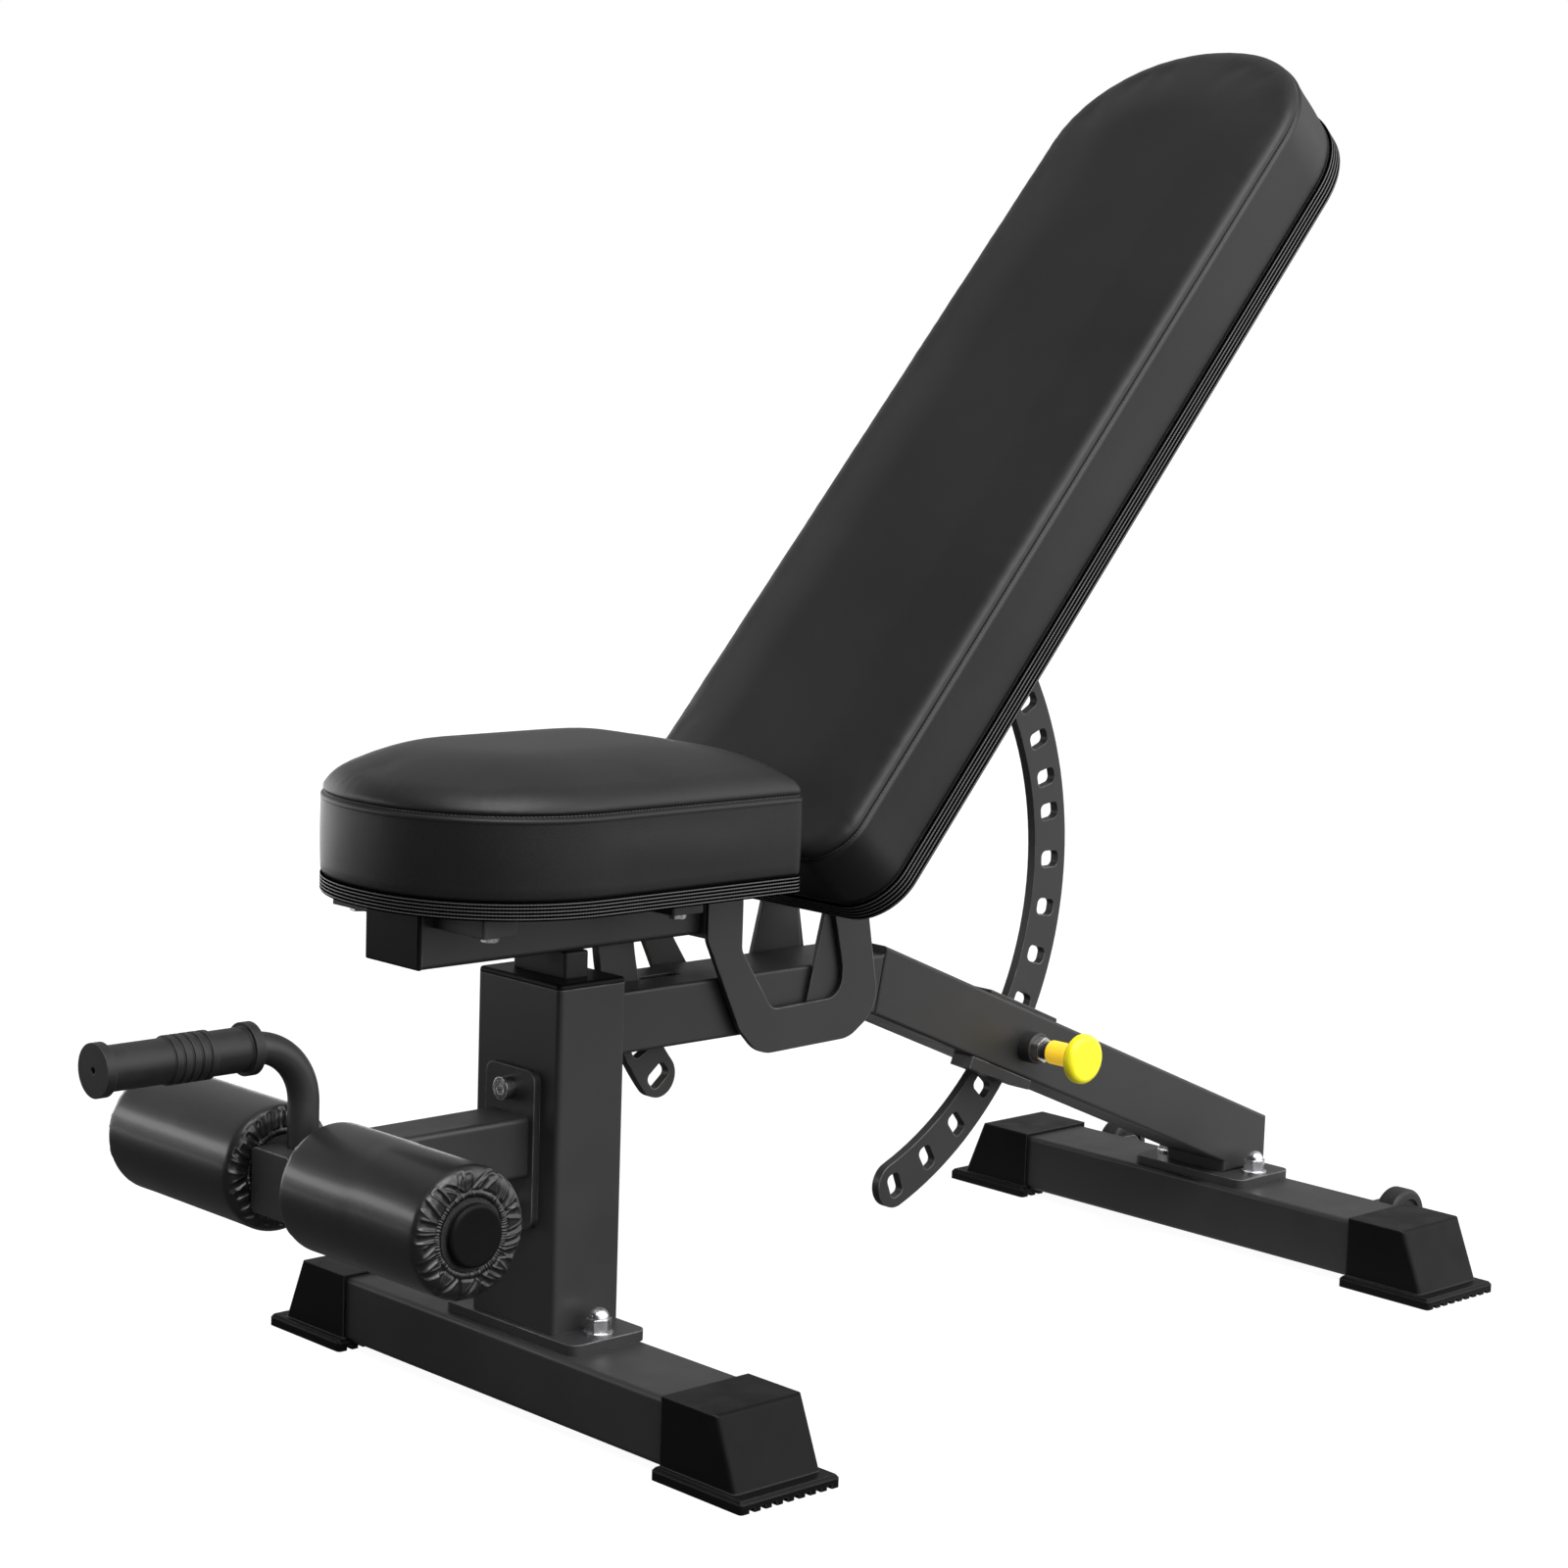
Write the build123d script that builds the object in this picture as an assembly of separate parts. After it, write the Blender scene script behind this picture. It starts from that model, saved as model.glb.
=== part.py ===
"""Adjustable decline sit-up bench: frame, backrest, seat, leg hold, pop pins and transport wheels.

Units are millimetres. +Z is up, +X is the side of the backrest's pop pin, +Y runs from the
leg hold to the back of the bench. The origin is on the floor, in the middle of the bench.
"""

from build123d import *
from math import atan2, cos, degrees, radians, sin, tan
import os

# ---------------------------------------------------------------- driving dimensions
front_y = -247.5            # front crossbar's centre line
bar_spacing = 783.0         # front crossbar to rear crossbar
rear_y = front_y + bar_spacing

bench_half_width = 276.0    # outer end of a foot's sole
wall = 3.0                  # wall of every steel tube
fit_gap = 0.05              # radial clearance of a running fit
loose_gap = 0.6             # gap between faces that pass each other

bar_width = 76.0
bar_height = 50.0
bar_bottom = 7.0
bar_top = bar_bottom + bar_height
bar_half_length = 236.0

foot_length = 91.0
foot_sole_width = 94.0
foot_sole_height = 9.2
foot_body_width = 82.0
foot_body_top = 59.7

plate_thickness = 8.0
plate_top = bar_top + plate_thickness
plate_half_y = 36.0
front_plate_half_x = 76.0
rear_plate_half_x = 62.0
rear_plate_y = rear_y + 2.0
post_width = 95.0
post_depth = 63.0
post_y = front_y + 6.5
post_top = 320.0
post_cap_thickness = 4.0
bumper_top = 343.4

spine_width = 66.0
spine_half = spine_width / 2
spine_bottom = 262.0
spine_top = 309.0
leg_slope = 22.5            # rear leg's angle below horizontal
leg_height = 54.0           # rear leg's depth, square to its run
leg_step = 6.0              # the leg's top corner stands this far above the spine
mitre_y = front_y + 321.0   # spine's top corner at the mitre
stub_front = rear_y - 21.0
stub_back = rear_y + 37.0
guide_front = 136.5         # ladder guides, measured down the leg from the seam
guide_back = 225.0
guide_half_width = 31.0
guide_thickness = 3.0
lower_guide_back = 214.0
lower_guide_depths = (10.4, 8.0)    # under the leg, at its front and its back
lower_guide_inner_x = 11.0

pivot_y = front_y + 268.0
pivot_z = 363.0
axle_radius = 8.0
bracket_thickness = 4.0
arm_inner = spine_half + bracket_thickness + loose_gap
arm_thickness = 4.4

ladder_thickness = 8.0
back_ladder_radius = 275.5
back_ladder_width = 37.4
seat_ladder_radius = 205.0
seat_ladder_width = 34.0
ladder_hole_width = 14.0
ladder_hole_length = 20.5
ladder_hole_corner = 5.0
back_step = 8.5             # degrees between the backrest's holes
back_pin_radius = 270.5     # the pin sits near the inner end of its hole
back_pin_rise = 0.4         # and this many degrees above the hole's middle
back_pin_angle = -34.0
back_upper_angles = (14.7, 21.9, 29.1)
seat_step = 8.7
seat_pin_angle = 202.0
seat_slot_front = front_y + 45.0
seat_slot_back = front_y + 130.0

back_angle = 49.1           # backrest's slope at rest
pad_low = -32.5             # pad's lower end, measured along the backrest from the pivot
pad_high = 812.0
pad_half_width = 127.0
pad_end_length = 106.0      # length of the half-ellipse at the top end
pad_corner = 40.0
pad_face = 108.0            # pad's front face above the pivot line
board_back = 24.7
board_thickness = 18.6
back_tube_width = 60.0
back_tube_low = -22.3
back_tube_length = 690.0

seat_half_width = 126.0
seat_back_y = front_y + 139.0
seat_straight_y = front_y - 47.0
seat_nose_y = front_y - 169.0
seat_board_bottom = 387.7
seat_board_thickness = 13.3
seat_pad_top = 470.0
seat_corner = 9.0
pad_edge = 12.0             # rounding along a pad's top edge
seat_tube_half = 31.0
seat_tube_bottom = 344.0
seat_tube_front = front_y - 137.0
seat_tube_back = front_y + 122.0
seat_cap_thickness = 3.0
end_plate_thickness = 5.0
bracket_height = 14.0
seat_bracket_width = 30.0
seat_bracket_reach = 88.0
seat_screw_x = 76.0
seat_bracket_places = (front_y - 113.0, front_y + 60.0)
back_bracket_width = 40.0
back_bracket_reach = 96.0
back_screw_x = 74.0
back_bracket_places = (95.0, 335.0, 575.0)

roller_y = front_y - 210.0
roller_z = 202.0
roller_radius = 45.5
roller_inner_x = 27.0
roller_outer_x = 186.0
cover_thickness = 1.5
roller_edge = 9.0           # rounding at a roller's ends
roller_axle_radius = 12.5
hold_half_width = 22.0
hold_bottom = 178.0
hold_top = 224.0
hold_front = front_y - 240.0
flange_half_width = 28.0
flange_bottom = 140.0
flange_top = 258.0
flange_thickness = 6.0
handle_radius = 11.0
handle_y = front_y - 213.0
handle_z = 299.0
handle_bend = 43.0
grip_back = front_y - 257.0
grip_front = front_y - 380.0
grip_radius = 15.5

wheel_x = 161.0
wheel_y = rear_y + 67.0
wheel_z = 39.0
wheel_radius = 25.0
wheel_half_width = 10.0
wheel_axle_radius = 5.0

pin_radius = 5.0
pin_rod_radius = 3.0
spring_wire_radius = 0.6
pin_tip = 4.8               # tip's distance from the middle plane with the pin drawn
sleeve_radius = 13.0
sleeve_end = 46.0
lock_nut_end = 52.6
barrel_end = 60.0
barrel_radius = 7.5
knob_stem_start = 60.8
knob_stem_radius = 9.8
knob_rod_end = 87.0         # the pin's rod ends inside the knob
knob_end = 99.5
knob_head = 10.0
knob_radius = 20.5

bolt_radius = 5.0
front_bolt_x = 62.0
rear_bolt_x = 49.0
screw_radius = 3.0


# ---------------------------------------------------------------- helpers
def box(x0, x1, y0, y1, z0, z1):
    """Block between two corners."""
    return Pos((x0 + x1) / 2, (y0 + y1) / 2, (z0 + z1) / 2) * Box(x1 - x0, y1 - y0, z1 - z0)


def rod(radius, x0, x1, y, z):
    """Cylinder along X."""
    return Pos((x0 + x1) / 2, y, z) * Rot(0, 90, 0) * Cylinder(radius, x1 - x0)


def rod_y(radius, x, y0, y1, z):
    """Cylinder along Y."""
    return Pos(x, (y0 + y1) / 2, z) * Rot(90, 0, 0) * Cylinder(radius, y1 - y0)


def rod_z(radius, x, y, z0, z1):
    """Cylinder along Z."""
    return Pos(x, y, (z0 + z1) / 2) * Cylinder(radius, z1 - z0)


def hexagon_z(across, x, y, z0, z1):
    """Hexagonal prism along Z."""
    outline = RegularPolygon(across / 2, 6, major_radius=False)
    return Pos(x, y, z0) * extrude(outline, z1 - z0)


def hexagon_x(across, x0, x1, y, z):
    """Hexagonal prism along X."""
    outline = RegularPolygon(across / 2, 6, major_radius=False)
    return Pos(x0, y, z) * Rot(0, 90, 0) * extrude(outline, x1 - x0)


def side_face(points, radii=None):
    """Face in the YZ plane from (y, z) corners, each rounded by its own radius."""
    face = make_face(Polyline(*points, close=True))
    for corner, radius in zip(points, radii or []):
        if radius:
            vertex = face.vertices().sort_by_distance((corner[0], corner[1], 0))[0]
            face = fillet(vertex, radius)
    return face


def side_plate(face, x0, x1):
    """Extrude a YZ face from x0 to x1."""
    return Plane.YZ.offset(x0) * extrude(face, x1 - x0)


def long_edges(solid, direction):
    """Edges that run along one axis."""
    return solid.edges().filter_by(direction)


def box_section(points, half_width):
    """Closed steel box section with this side outline."""
    outer = side_plate(side_face(points), -half_width, half_width)
    outer = fillet(outer.faces().filter_by(Axis.X).edges(), 2.5)
    inner_face = offset(side_face(points), -wall, kind=Kind.INTERSECTION)
    return outer - side_plate(inner_face, -half_width + wall, half_width - wall)


def ring_segment(radius, width, start, end):
    """Flat arc in the YZ plane about the pivot, from start to end degrees."""
    centre = (pivot_y, pivot_z)
    arcs = []
    for edge_radius in (radius - width / 2, radius + width / 2):
        arcs.append(CenterArc(centre, edge_radius, start, end - start))
    ends = [Line(arcs[0] @ 0, arcs[1] @ 0), Line(arcs[0] @ 1, arcs[1] @ 1)]
    return make_face(arcs + ends)


def about_pivot(radius, angle):
    """(y, z) of a point at this radius and angle about the pivot."""
    return (pivot_y + radius * cos(radians(angle)), pivot_z + radius * sin(radians(angle)))


def ladder(radius, width, root, tip, hole_angles):
    """Arc plate about the pivot with radial holes and a rounded free end at tip."""
    face = ring_segment(radius, width, min(root, tip), max(root, tip))
    tip_y, tip_z = about_pivot(radius, tip)
    face += Pos(tip_y, tip_z) * Circle(width / 2)
    for angle in hole_angles:
        y, z = about_pivot(radius, angle)
        hole = RectangleRounded(ladder_hole_length, ladder_hole_width, ladder_hole_corner)
        face -= Pos(y, z) * Rot(0, 0, angle) * hole
    return side_plate(face, -ladder_thickness / 2, ladder_thickness / 2)


def mirrored(solid):
    """The same solid on the other side of the middle plane."""
    return mirror(solid, about=Plane.YZ)


def both_sides(solid):
    """A solid and its mirror image, kept as separate solids."""
    return Compound(children=list(solid.solids()) + list(mirrored(solid).solids()))


def group(shapes):
    """Separate solids that make up one node."""
    solids = []
    for shape in shapes:
        solids += list(shape.solids())
    return Compound(children=solids)


# ---------------------------------------------------------------- base frame
def crossbar(y, bolt_x):
    bar = box(-bar_half_length, bar_half_length, y - bar_width / 2, y + bar_width / 2, bar_bottom, bar_top)
    bar = fillet(long_edges(bar, Axis.X), 4)
    bar -= box(-bar_half_length, bar_half_length, y - bar_width / 2 + wall, y + bar_width / 2 - wall,
               bar_bottom + wall, bar_top - wall)
    for x in (-bolt_x, bolt_x):
        bar -= rod_z(bolt_radius + 0.25, x, bolt_y(y), bar_bottom, bar_top)
    return bar


def bolt_y(bar_y):
    """The base plate's bolts sit on the line of what they hold up."""
    return post_y if bar_y == front_y else rear_plate_y


def foot_cap(bar_y):
    """Plastic foot on the +X end: sloped hollow cap on a ribbed sole."""
    outer = bench_half_width
    inner = outer - foot_length
    slope = [(inner + 1, foot_sole_height), (outer - 13, foot_sole_height),
             (outer - 34, foot_body_top), (inner + 1, foot_body_top)]
    body_face = make_face(Polyline(*slope, close=True))
    body = Plane.XZ.offset(-bar_y - foot_body_width / 2) * extrude(body_face, foot_body_width)
    end_face = body.faces().sort_by(Axis.X)[-1]
    body = fillet(end_face.edges().sort_by(Axis.Z)[1:], 4)
    sole = box(inner - 2, outer, bar_y - foot_sole_width / 2, bar_y + foot_sole_width / 2,
               0, foot_sole_height)
    sole = fillet(long_edges(sole, Axis.Z), 3)
    sole = chamfer(sole.faces().sort_by(Axis.Z)[-1].edges(), 2.4)
    foot = body + sole
    tooth_pitch = foot_sole_width / 9
    for index in range(8):
        groove_y = bar_y + (index - 3.5) * tooth_pitch
        foot -= box(inner - 3, outer + 1, groove_y - 2.4, groove_y + 2.4, 0, 3.2)
    pocket_gap = 0.1
    foot -= box(inner - 3, bar_half_length + pocket_gap, bar_y - bar_width / 2 - pocket_gap,
                bar_y + bar_width / 2 + pocket_gap, bar_bottom - pocket_gap, bar_top + pocket_gap)
    return foot


def main_post():
    post = box(-post_width / 2, post_width / 2, post_y - post_depth / 2, post_y + post_depth / 2,
               plate_top, post_top)
    post = fillet(long_edges(post, Axis.Z), 4)
    post -= box(-post_width / 2 + wall, post_width / 2 - wall, post_y - post_depth / 2 + wall,
                post_y + post_depth / 2 - wall, plate_top, post_top)
    for z in (flange_bottom + 18, flange_top - 16):
        post -= rod_y(bolt_radius + 0.25, 0, post_y - post_depth / 2 - 1, post_y, z)
    return post


def post_cap():
    cap = box(-post_width / 2, post_width / 2, post_y - post_depth / 2, post_y + post_depth / 2,
              post_top, post_top + post_cap_thickness)
    cap = fillet(long_edges(cap, Axis.Z), 4)
    return fillet(cap.faces().sort_by(Axis.Z)[-1].edges(), 2.5)


def seat_bumper():
    low = post_top + post_cap_thickness
    block = box(-30, 30, post_y - 12.5, post_y + 9.5, low, bumper_top)
    return fillet(long_edges(block, Axis.Z) + block.faces().sort_by(Axis.Z)[-1].edges(), 2)


def base_plate(half_x, centre_y, bolt_x):
    plate = box(-half_x, half_x, centre_y - plate_half_y, centre_y + plate_half_y, bar_top, plate_top)
    plate = fillet(long_edges(plate, Axis.Z), 9)
    for x in (-bolt_x, bolt_x):
        plate -= rod_z(bolt_radius + 0.25, x, centre_y, bar_top, plate_top)
    return plate


def crossbar_bolts():
    """Carriage bolts up through each crossbar, each with a washer and an acorn nut."""
    pieces = []
    for bolt_x, y in ((front_bolt_x, post_y), (rear_bolt_x, rear_plate_y)):
        for x in (-bolt_x, bolt_x):
            shank = rod_z(bolt_radius, x, y, bar_bottom, plate_top + 10)
            shank += rod_z(11, x, y, bar_bottom - 4, bar_bottom)
            washer = rod_z(11, x, y, plate_top, plate_top + 2) - rod_z(5.4, x, y, plate_top, plate_top + 2)
            nut = hexagon_z(17, x, y, plate_top + 2, plate_top + 12)
            nut += Pos(x, y, plate_top + 12) * Sphere(7.8)
            nut -= rod_z(bolt_radius + 0.02, x, y, plate_top + 2, plate_top + 10)
            pieces += [shank, washer, nut]
    return group(pieces)


def mitre_point(z):
    """(y, z) of a point on the seam between the spine and the rear leg."""
    return (mitre_y + (z - spine_top) * tan(radians(leg_slope / 2)), z)


def spine_tube():
    back_y = post_y + post_depth / 2
    tube = box_section([(back_y, spine_top), mitre_point(spine_top), mitre_point(spine_bottom),
                        (back_y, spine_bottom)], spine_half)
    slot_half = ladder_thickness / 2 + 1.5
    tube -= box(-slot_half, slot_half, seat_slot_front, seat_slot_back, spine_top - wall - 1, spine_top)
    tube -= box(-slot_half, slot_half, front_y + 64, front_y + 118, spine_bottom, spine_bottom + wall + 1)
    seat_pin_y, seat_pin_z = about_pivot(seat_ladder_radius, seat_pin_angle)
    tube -= rod(pin_radius + fit_gap, -spine_half, -spine_half + wall, seat_pin_y, seat_pin_z)
    return tube


def leg_point(y, start):
    """(y, z) on the line that runs down the rear leg from a point on the seam."""
    start_y, start_z = start
    return (y, start_z - (y - start_y) * tan(radians(leg_slope)))


def off_leg(along, height):
    """(y, z) this far down the rear leg from its top corner and this high off its top face."""
    top_y, top_z = mitre_point(spine_top + leg_step)
    slope = radians(leg_slope)
    return (top_y + along * cos(slope) + height * sin(slope),
            top_z - along * sin(slope) + height * cos(slope))


def back_pin_centre():
    """(y, z) of the backrest's pop pin."""
    return about_pivot(back_pin_radius, back_pin_angle + back_pin_rise)


def rear_leg():
    """Sloping box with a short upright stub on the rear base plate."""
    top = mitre_point(spine_top + leg_step)
    low = mitre_point(spine_top + leg_step - leg_height)
    leg = box_section([top, leg_point(stub_back, top), (stub_back, plate_top),
                       (stub_front, plate_top), leg_point(stub_front, low), low], spine_half)
    slot_half = ladder_thickness / 2 + 1.5
    slot = ring_segment(back_ladder_radius, back_ladder_width + 6, -60, -10)
    leg -= side_plate(slot, -slot_half, slot_half)
    pin_y, pin_z = back_pin_centre()
    return leg - rod(pin_radius + fit_gap, spine_half - wall, spine_half, pin_y, pin_z)


def ladder_guide_upper():
    """Flat plate on the rear leg, with a slot for the ladder that is open at the back."""
    outline = side_face([off_leg(guide_front, 0), off_leg(guide_back, 0),
                         off_leg(guide_back, guide_thickness), off_leg(guide_front, guide_thickness)],
                        [0, 0, 2, 0])
    slot = ring_segment(back_ladder_radius, back_ladder_width + 3, -60, -10)
    slot_half = ladder_thickness / 2 + 0.8
    return side_plate(outline, -guide_half_width, guide_half_width) - side_plate(slot, -slot_half, slot_half)


def ladder_guide_lower():
    """Tapered bar under the rear leg, on the pop pin's side of the ladder."""
    front_depth, back_depth = lower_guide_depths
    outline = side_face([off_leg(guide_front, -leg_height), off_leg(lower_guide_back, -leg_height),
                         off_leg(lower_guide_back, -leg_height - back_depth),
                         off_leg(guide_front, -leg_height - front_depth)])
    return side_plate(outline, lower_guide_inner_x, spine_half)


def pivot_bracket():
    """Wedge plate on the +X side of the spine, up to the pivot."""
    plate = side_face([(front_y + 228, 268), (front_y + 296, 268), (pivot_y + 16, pivot_z),
                       (pivot_y - 16, pivot_z)])
    plate += Pos(pivot_y, pivot_z) * Circle(16)
    plate -= Pos(pivot_y, pivot_z) * Circle(axle_radius + fit_gap)
    return side_plate(plate, spine_half, spine_half + bracket_thickness)


def pivot_axle():
    end = arm_inner + arm_thickness + 3
    axle = rod(axle_radius, -end - 8, end, pivot_y, pivot_z)
    return axle + rod(13, end, end + 7, pivot_y, pivot_z)


def pivot_axle_nut():
    start = arm_inner + arm_thickness + 1
    nut = hexagon_x(24, -start - 9, -start, pivot_y, pivot_z)
    return nut - rod(axle_radius + 0.02, -start - 10, -start, pivot_y, pivot_z)


# ---------------------------------------------------------------- leg hold
def leg_hold_flange():
    front = post_y - post_depth / 2
    plate = box(-flange_half_width, flange_half_width, front - flange_thickness, front,
                flange_bottom, flange_top)
    plate = fillet(long_edges(plate, Axis.Y), 9)
    for z in (flange_bottom + 18, flange_top - 16):
        plate -= rod_y(bolt_radius + 0.25, 0, front - flange_thickness, front, z)
    return plate


def leg_hold_bolts():
    front = post_y - post_depth / 2
    bolts = []
    for z in (flange_bottom + 18, flange_top - 16):
        bolt = rod_y(bolt_radius, 0, front - flange_thickness, front + 14, z)
        head = rod_y(8.5, 0, front - flange_thickness - 9, front - flange_thickness, z)
        socket = RegularPolygon(4, 6, major_radius=False)
        head -= Pos(0, front - flange_thickness - 4, z) * Rot(90, 0, 0) * extrude(socket, 5)
        bolts.append(bolt + head)
    return group(bolts)


def leg_hold_tube():
    back = post_y - post_depth / 2 - flange_thickness
    tube = box(-hold_half_width, hold_half_width, hold_front, back, hold_bottom, hold_top)
    tube = fillet(long_edges(tube, Axis.Y), 4)
    tube -= box(-hold_half_width + wall, hold_half_width - wall, hold_front + wall, back,
                hold_bottom + wall, hold_top - wall)
    return tube - rod(roller_axle_radius, -hold_half_width, hold_half_width, roller_y, roller_z)


def roller_axle():
    end = roller_outer_x - 2
    axle = rod(roller_axle_radius, -end, end, roller_y, roller_z)
    return axle - rod(roller_axle_radius - wall, -end, end, roller_y, roller_z)


def roller_end_caps():
    start = roller_outer_x + 0.4
    cap = rod(21.5, start, start + 5, roller_y, roller_z)
    cap = fillet(cap.faces().sort_by(Axis.X)[-1].edges(), 2.5)
    cap += rod(roller_axle_radius - wall, start - 20, start, roller_y, roller_z)
    return both_sides(cap)


def roller_foam():
    foam = rod(roller_radius - cover_thickness, roller_inner_x + cover_thickness,
               roller_outer_x - cover_thickness, roller_y, roller_z)
    foam = fillet(foam.edges().filter_by(GeomType.CIRCLE), roller_edge - cover_thickness)
    return foam - rod(roller_axle_radius + fit_gap, 0, roller_outer_x, roller_y, roller_z)


def roller_cover():
    """Sewn cover gathered over both ends of the foam."""
    skin = rod(roller_radius, roller_inner_x, roller_outer_x, roller_y, roller_z)
    skin = fillet(skin.edges().filter_by(GeomType.CIRCLE), roller_edge)
    core = rod(roller_radius - cover_thickness, roller_inner_x + cover_thickness,
               roller_outer_x - cover_thickness, roller_y, roller_z)
    skin -= fillet(core.edges().filter_by(GeomType.CIRCLE), roller_edge - cover_thickness)
    return skin - rod(22.5, 0, roller_outer_x + 1, roller_y, roller_z)


def handle_tube():
    path = [(handle_y, hold_top), (handle_y, handle_z - handle_bend)]
    rise = Line(*path)
    bend = CenterArc((handle_y - handle_bend, handle_z - handle_bend), handle_bend, 0, 90)
    reach = Line(bend @ 1, (grip_front + 8, handle_z))
    wire = Plane.YZ * Wire([rise, bend, reach])
    outer = sweep(Pos(0, handle_y, hold_top) * Circle(handle_radius), path=wire)
    inner = sweep(Pos(0, handle_y, hold_top) * Circle(handle_radius - 2), path=wire)
    return outer - inner


def handle_grip():
    grip = rod_y(grip_radius, 0, grip_front, grip_back, handle_z)
    ring_pitch = 7.0
    for index in range(5):
        ring_y = (grip_front + grip_back) / 2 + (index - 1) * ring_pitch
        grip += rod_y(grip_radius + 1.4, 0, ring_y, ring_y + 4, handle_z)
    for y in (grip_front, grip_back - 7):
        grip += rod_y(grip_radius + 3, 0, y, y + 7, handle_z)
    grip -= rod_y(handle_radius + 0.02, 0, grip_front + 7, grip_back, handle_z)
    return grip - rod_y(2.5, 0, grip_front, grip_front + 8, handle_z)


# ---------------------------------------------------------------- transport wheels
def wheel_brackets():
    inner = wheel_x - wheel_half_width - 1.5
    bar_back = rear_y + bar_width / 2
    ear = side_face([(bar_back, 22), (wheel_y, wheel_z - 13), (wheel_y + 13, wheel_z),
                     (wheel_y, wheel_z + 13), (bar_back, 52)], [0, 8, 8, 8, 0])
    ear = side_plate(ear, inner - 5, inner)
    return both_sides(ear - rod(wheel_axle_radius, inner - 5, inner, wheel_y, wheel_z))


def wheel_axles():
    inner = wheel_x - wheel_half_width - 1.5
    outer = wheel_x + wheel_half_width + 1.0
    bolt = rod(wheel_axle_radius, inner - 5, outer, wheel_y, wheel_z)
    bolt += rod(8, outer, outer + 4, wheel_y, wheel_z)
    bolt += hexagon_x(14, inner - 11, inner - 5, wheel_y, wheel_z)
    return both_sides(bolt)


def wheel():
    tread = rod(wheel_radius, wheel_x - wheel_half_width, wheel_x + wheel_half_width, wheel_y, wheel_z)
    tread = fillet(tread.edges().filter_by(GeomType.CIRCLE), 4)
    for x in (wheel_x - wheel_half_width, wheel_x + wheel_half_width - 3):
        recess = rod(17, x, x + 3, wheel_y, wheel_z) - rod(9, x, x + 3, wheel_y, wheel_z)
        tread -= recess
    return tread - rod(wheel_axle_radius + fit_gap, 0, bench_half_width, wheel_y, wheel_z)


# ---------------------------------------------------------------- pop pins, built on the +X side
def pin_sleeve(y, z):
    """Boss on the tube's wall with a threaded barrel for the lock nut."""
    sleeve = rod(sleeve_radius, spine_half, sleeve_end, y, z)
    sleeve = fillet(sleeve.faces().sort_by(Axis.X)[-1].edges(), 1)
    sleeve += rod(barrel_radius, sleeve_end, barrel_end, y, z)
    sleeve -= rod(pin_radius + fit_gap, spine_half, sleeve_end + 10, y, z)
    return sleeve - rod(pin_rod_radius + fit_gap, sleeve_end + 10, barrel_end, y, z)


def pin_lock_nut(y, z):
    nut = hexagon_x(19, sleeve_end, lock_nut_end, y, z)
    nut = nut & rod(10.6, sleeve_end, lock_nut_end, y, z)
    return nut - rod(barrel_radius, sleeve_end, lock_nut_end, y, z)


def pop_pin(y, z):
    """Locking pin with a thin rod that carries the knob."""
    pin = rod(pin_radius, pin_tip, spine_half + 6, y, z)
    pin = chamfer(pin.faces().sort_by(Axis.X)[0].edges(), 1.5)
    return pin + rod(pin_rod_radius, spine_half + 6, knob_rod_end, y, z)


def pin_knob(y, z):
    """Mushroom knob whose hollow stem passes over the barrel."""
    head_start = knob_end - knob_head
    knob = rod(knob_stem_radius, knob_stem_start, head_start, y, z)
    knob += rod(knob_radius, head_start, knob_end, y, z)
    circles = knob.edges().filter_by(GeomType.CIRCLE)
    neck = circles.filter_by_position(Axis.X, head_start - 0.1, head_start + 0.1).sort_by(SortBy.RADIUS)
    knob = fillet(neck[0], 6.5)
    rims = knob.edges().filter_by(GeomType.CIRCLE).sort_by(SortBy.RADIUS)[-2:].sort_by(Axis.X)
    knob = fillet(rims[0], 2.4)
    front = knob.edges().filter_by(GeomType.CIRCLE).sort_by(Axis.X)[-1]
    knob = fillet(front, 5.0)
    knob -= rod(barrel_radius + 0.4, knob_stem_start, knob_stem_start + 14, y, z)
    return knob - rod(pin_rod_radius, knob_stem_start, knob_rod_end, y, z)


def pin_spring(y, z):
    """Compression spring in the sleeve, between the pin's shoulder and the barrel."""
    start = spine_half + 6.8
    length = sleeve_end + 10 - start - 0.8
    coil = Helix(pitch=length / 6, height=length, radius=(pin_radius + pin_rod_radius) / 2)
    section = Plane(origin=coil @ 0, z_dir=coil % 0) * Circle(spring_wire_radius)
    return Pos(start, y, z) * Rot(0, 90, 0) * sweep(section, path=coil)


# ---------------------------------------------------------------- backrest
def lean(solid):
    """Move a solid from the backrest's own frame (pivot at origin, +Y along it) to the bench."""
    return Pos(0, pivot_y, pivot_z) * Rot(back_angle, 0, 0) * solid


def back_outline(grow):
    """Pad outline in plan: rounded lower corners, half-ellipse at the top end."""
    half = pad_half_width + grow
    low = pad_low - grow
    straight = pad_high - pad_end_length
    corner = pad_corner + grow
    top = EllipticalCenterArc((0, straight), half, pad_end_length + grow, 0,
                              arc_size=180)
    left = Line(top @ 1, (-half, low + corner))
    left_corner = CenterArc((-half + corner, low + corner), corner, 180, 90)
    bottom = Line((-half + corner, low), (half - corner, low))
    right_corner = CenterArc((half - corner, low + corner), corner, 270, 90)
    right = Line((half, low + corner), top @ 0)
    return make_face([top, left, left_corner, bottom, right_corner, right])


def backrest_board():
    board = Pos(0, 0, board_back) * extrude(back_outline(1.5), board_thickness)
    for s in back_bracket_places:
        for x in (-back_screw_x, back_screw_x):
            board -= rod_z(screw_radius + 0.1, x, s, board_back, board_back + 13)
    return lean(board)


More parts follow.
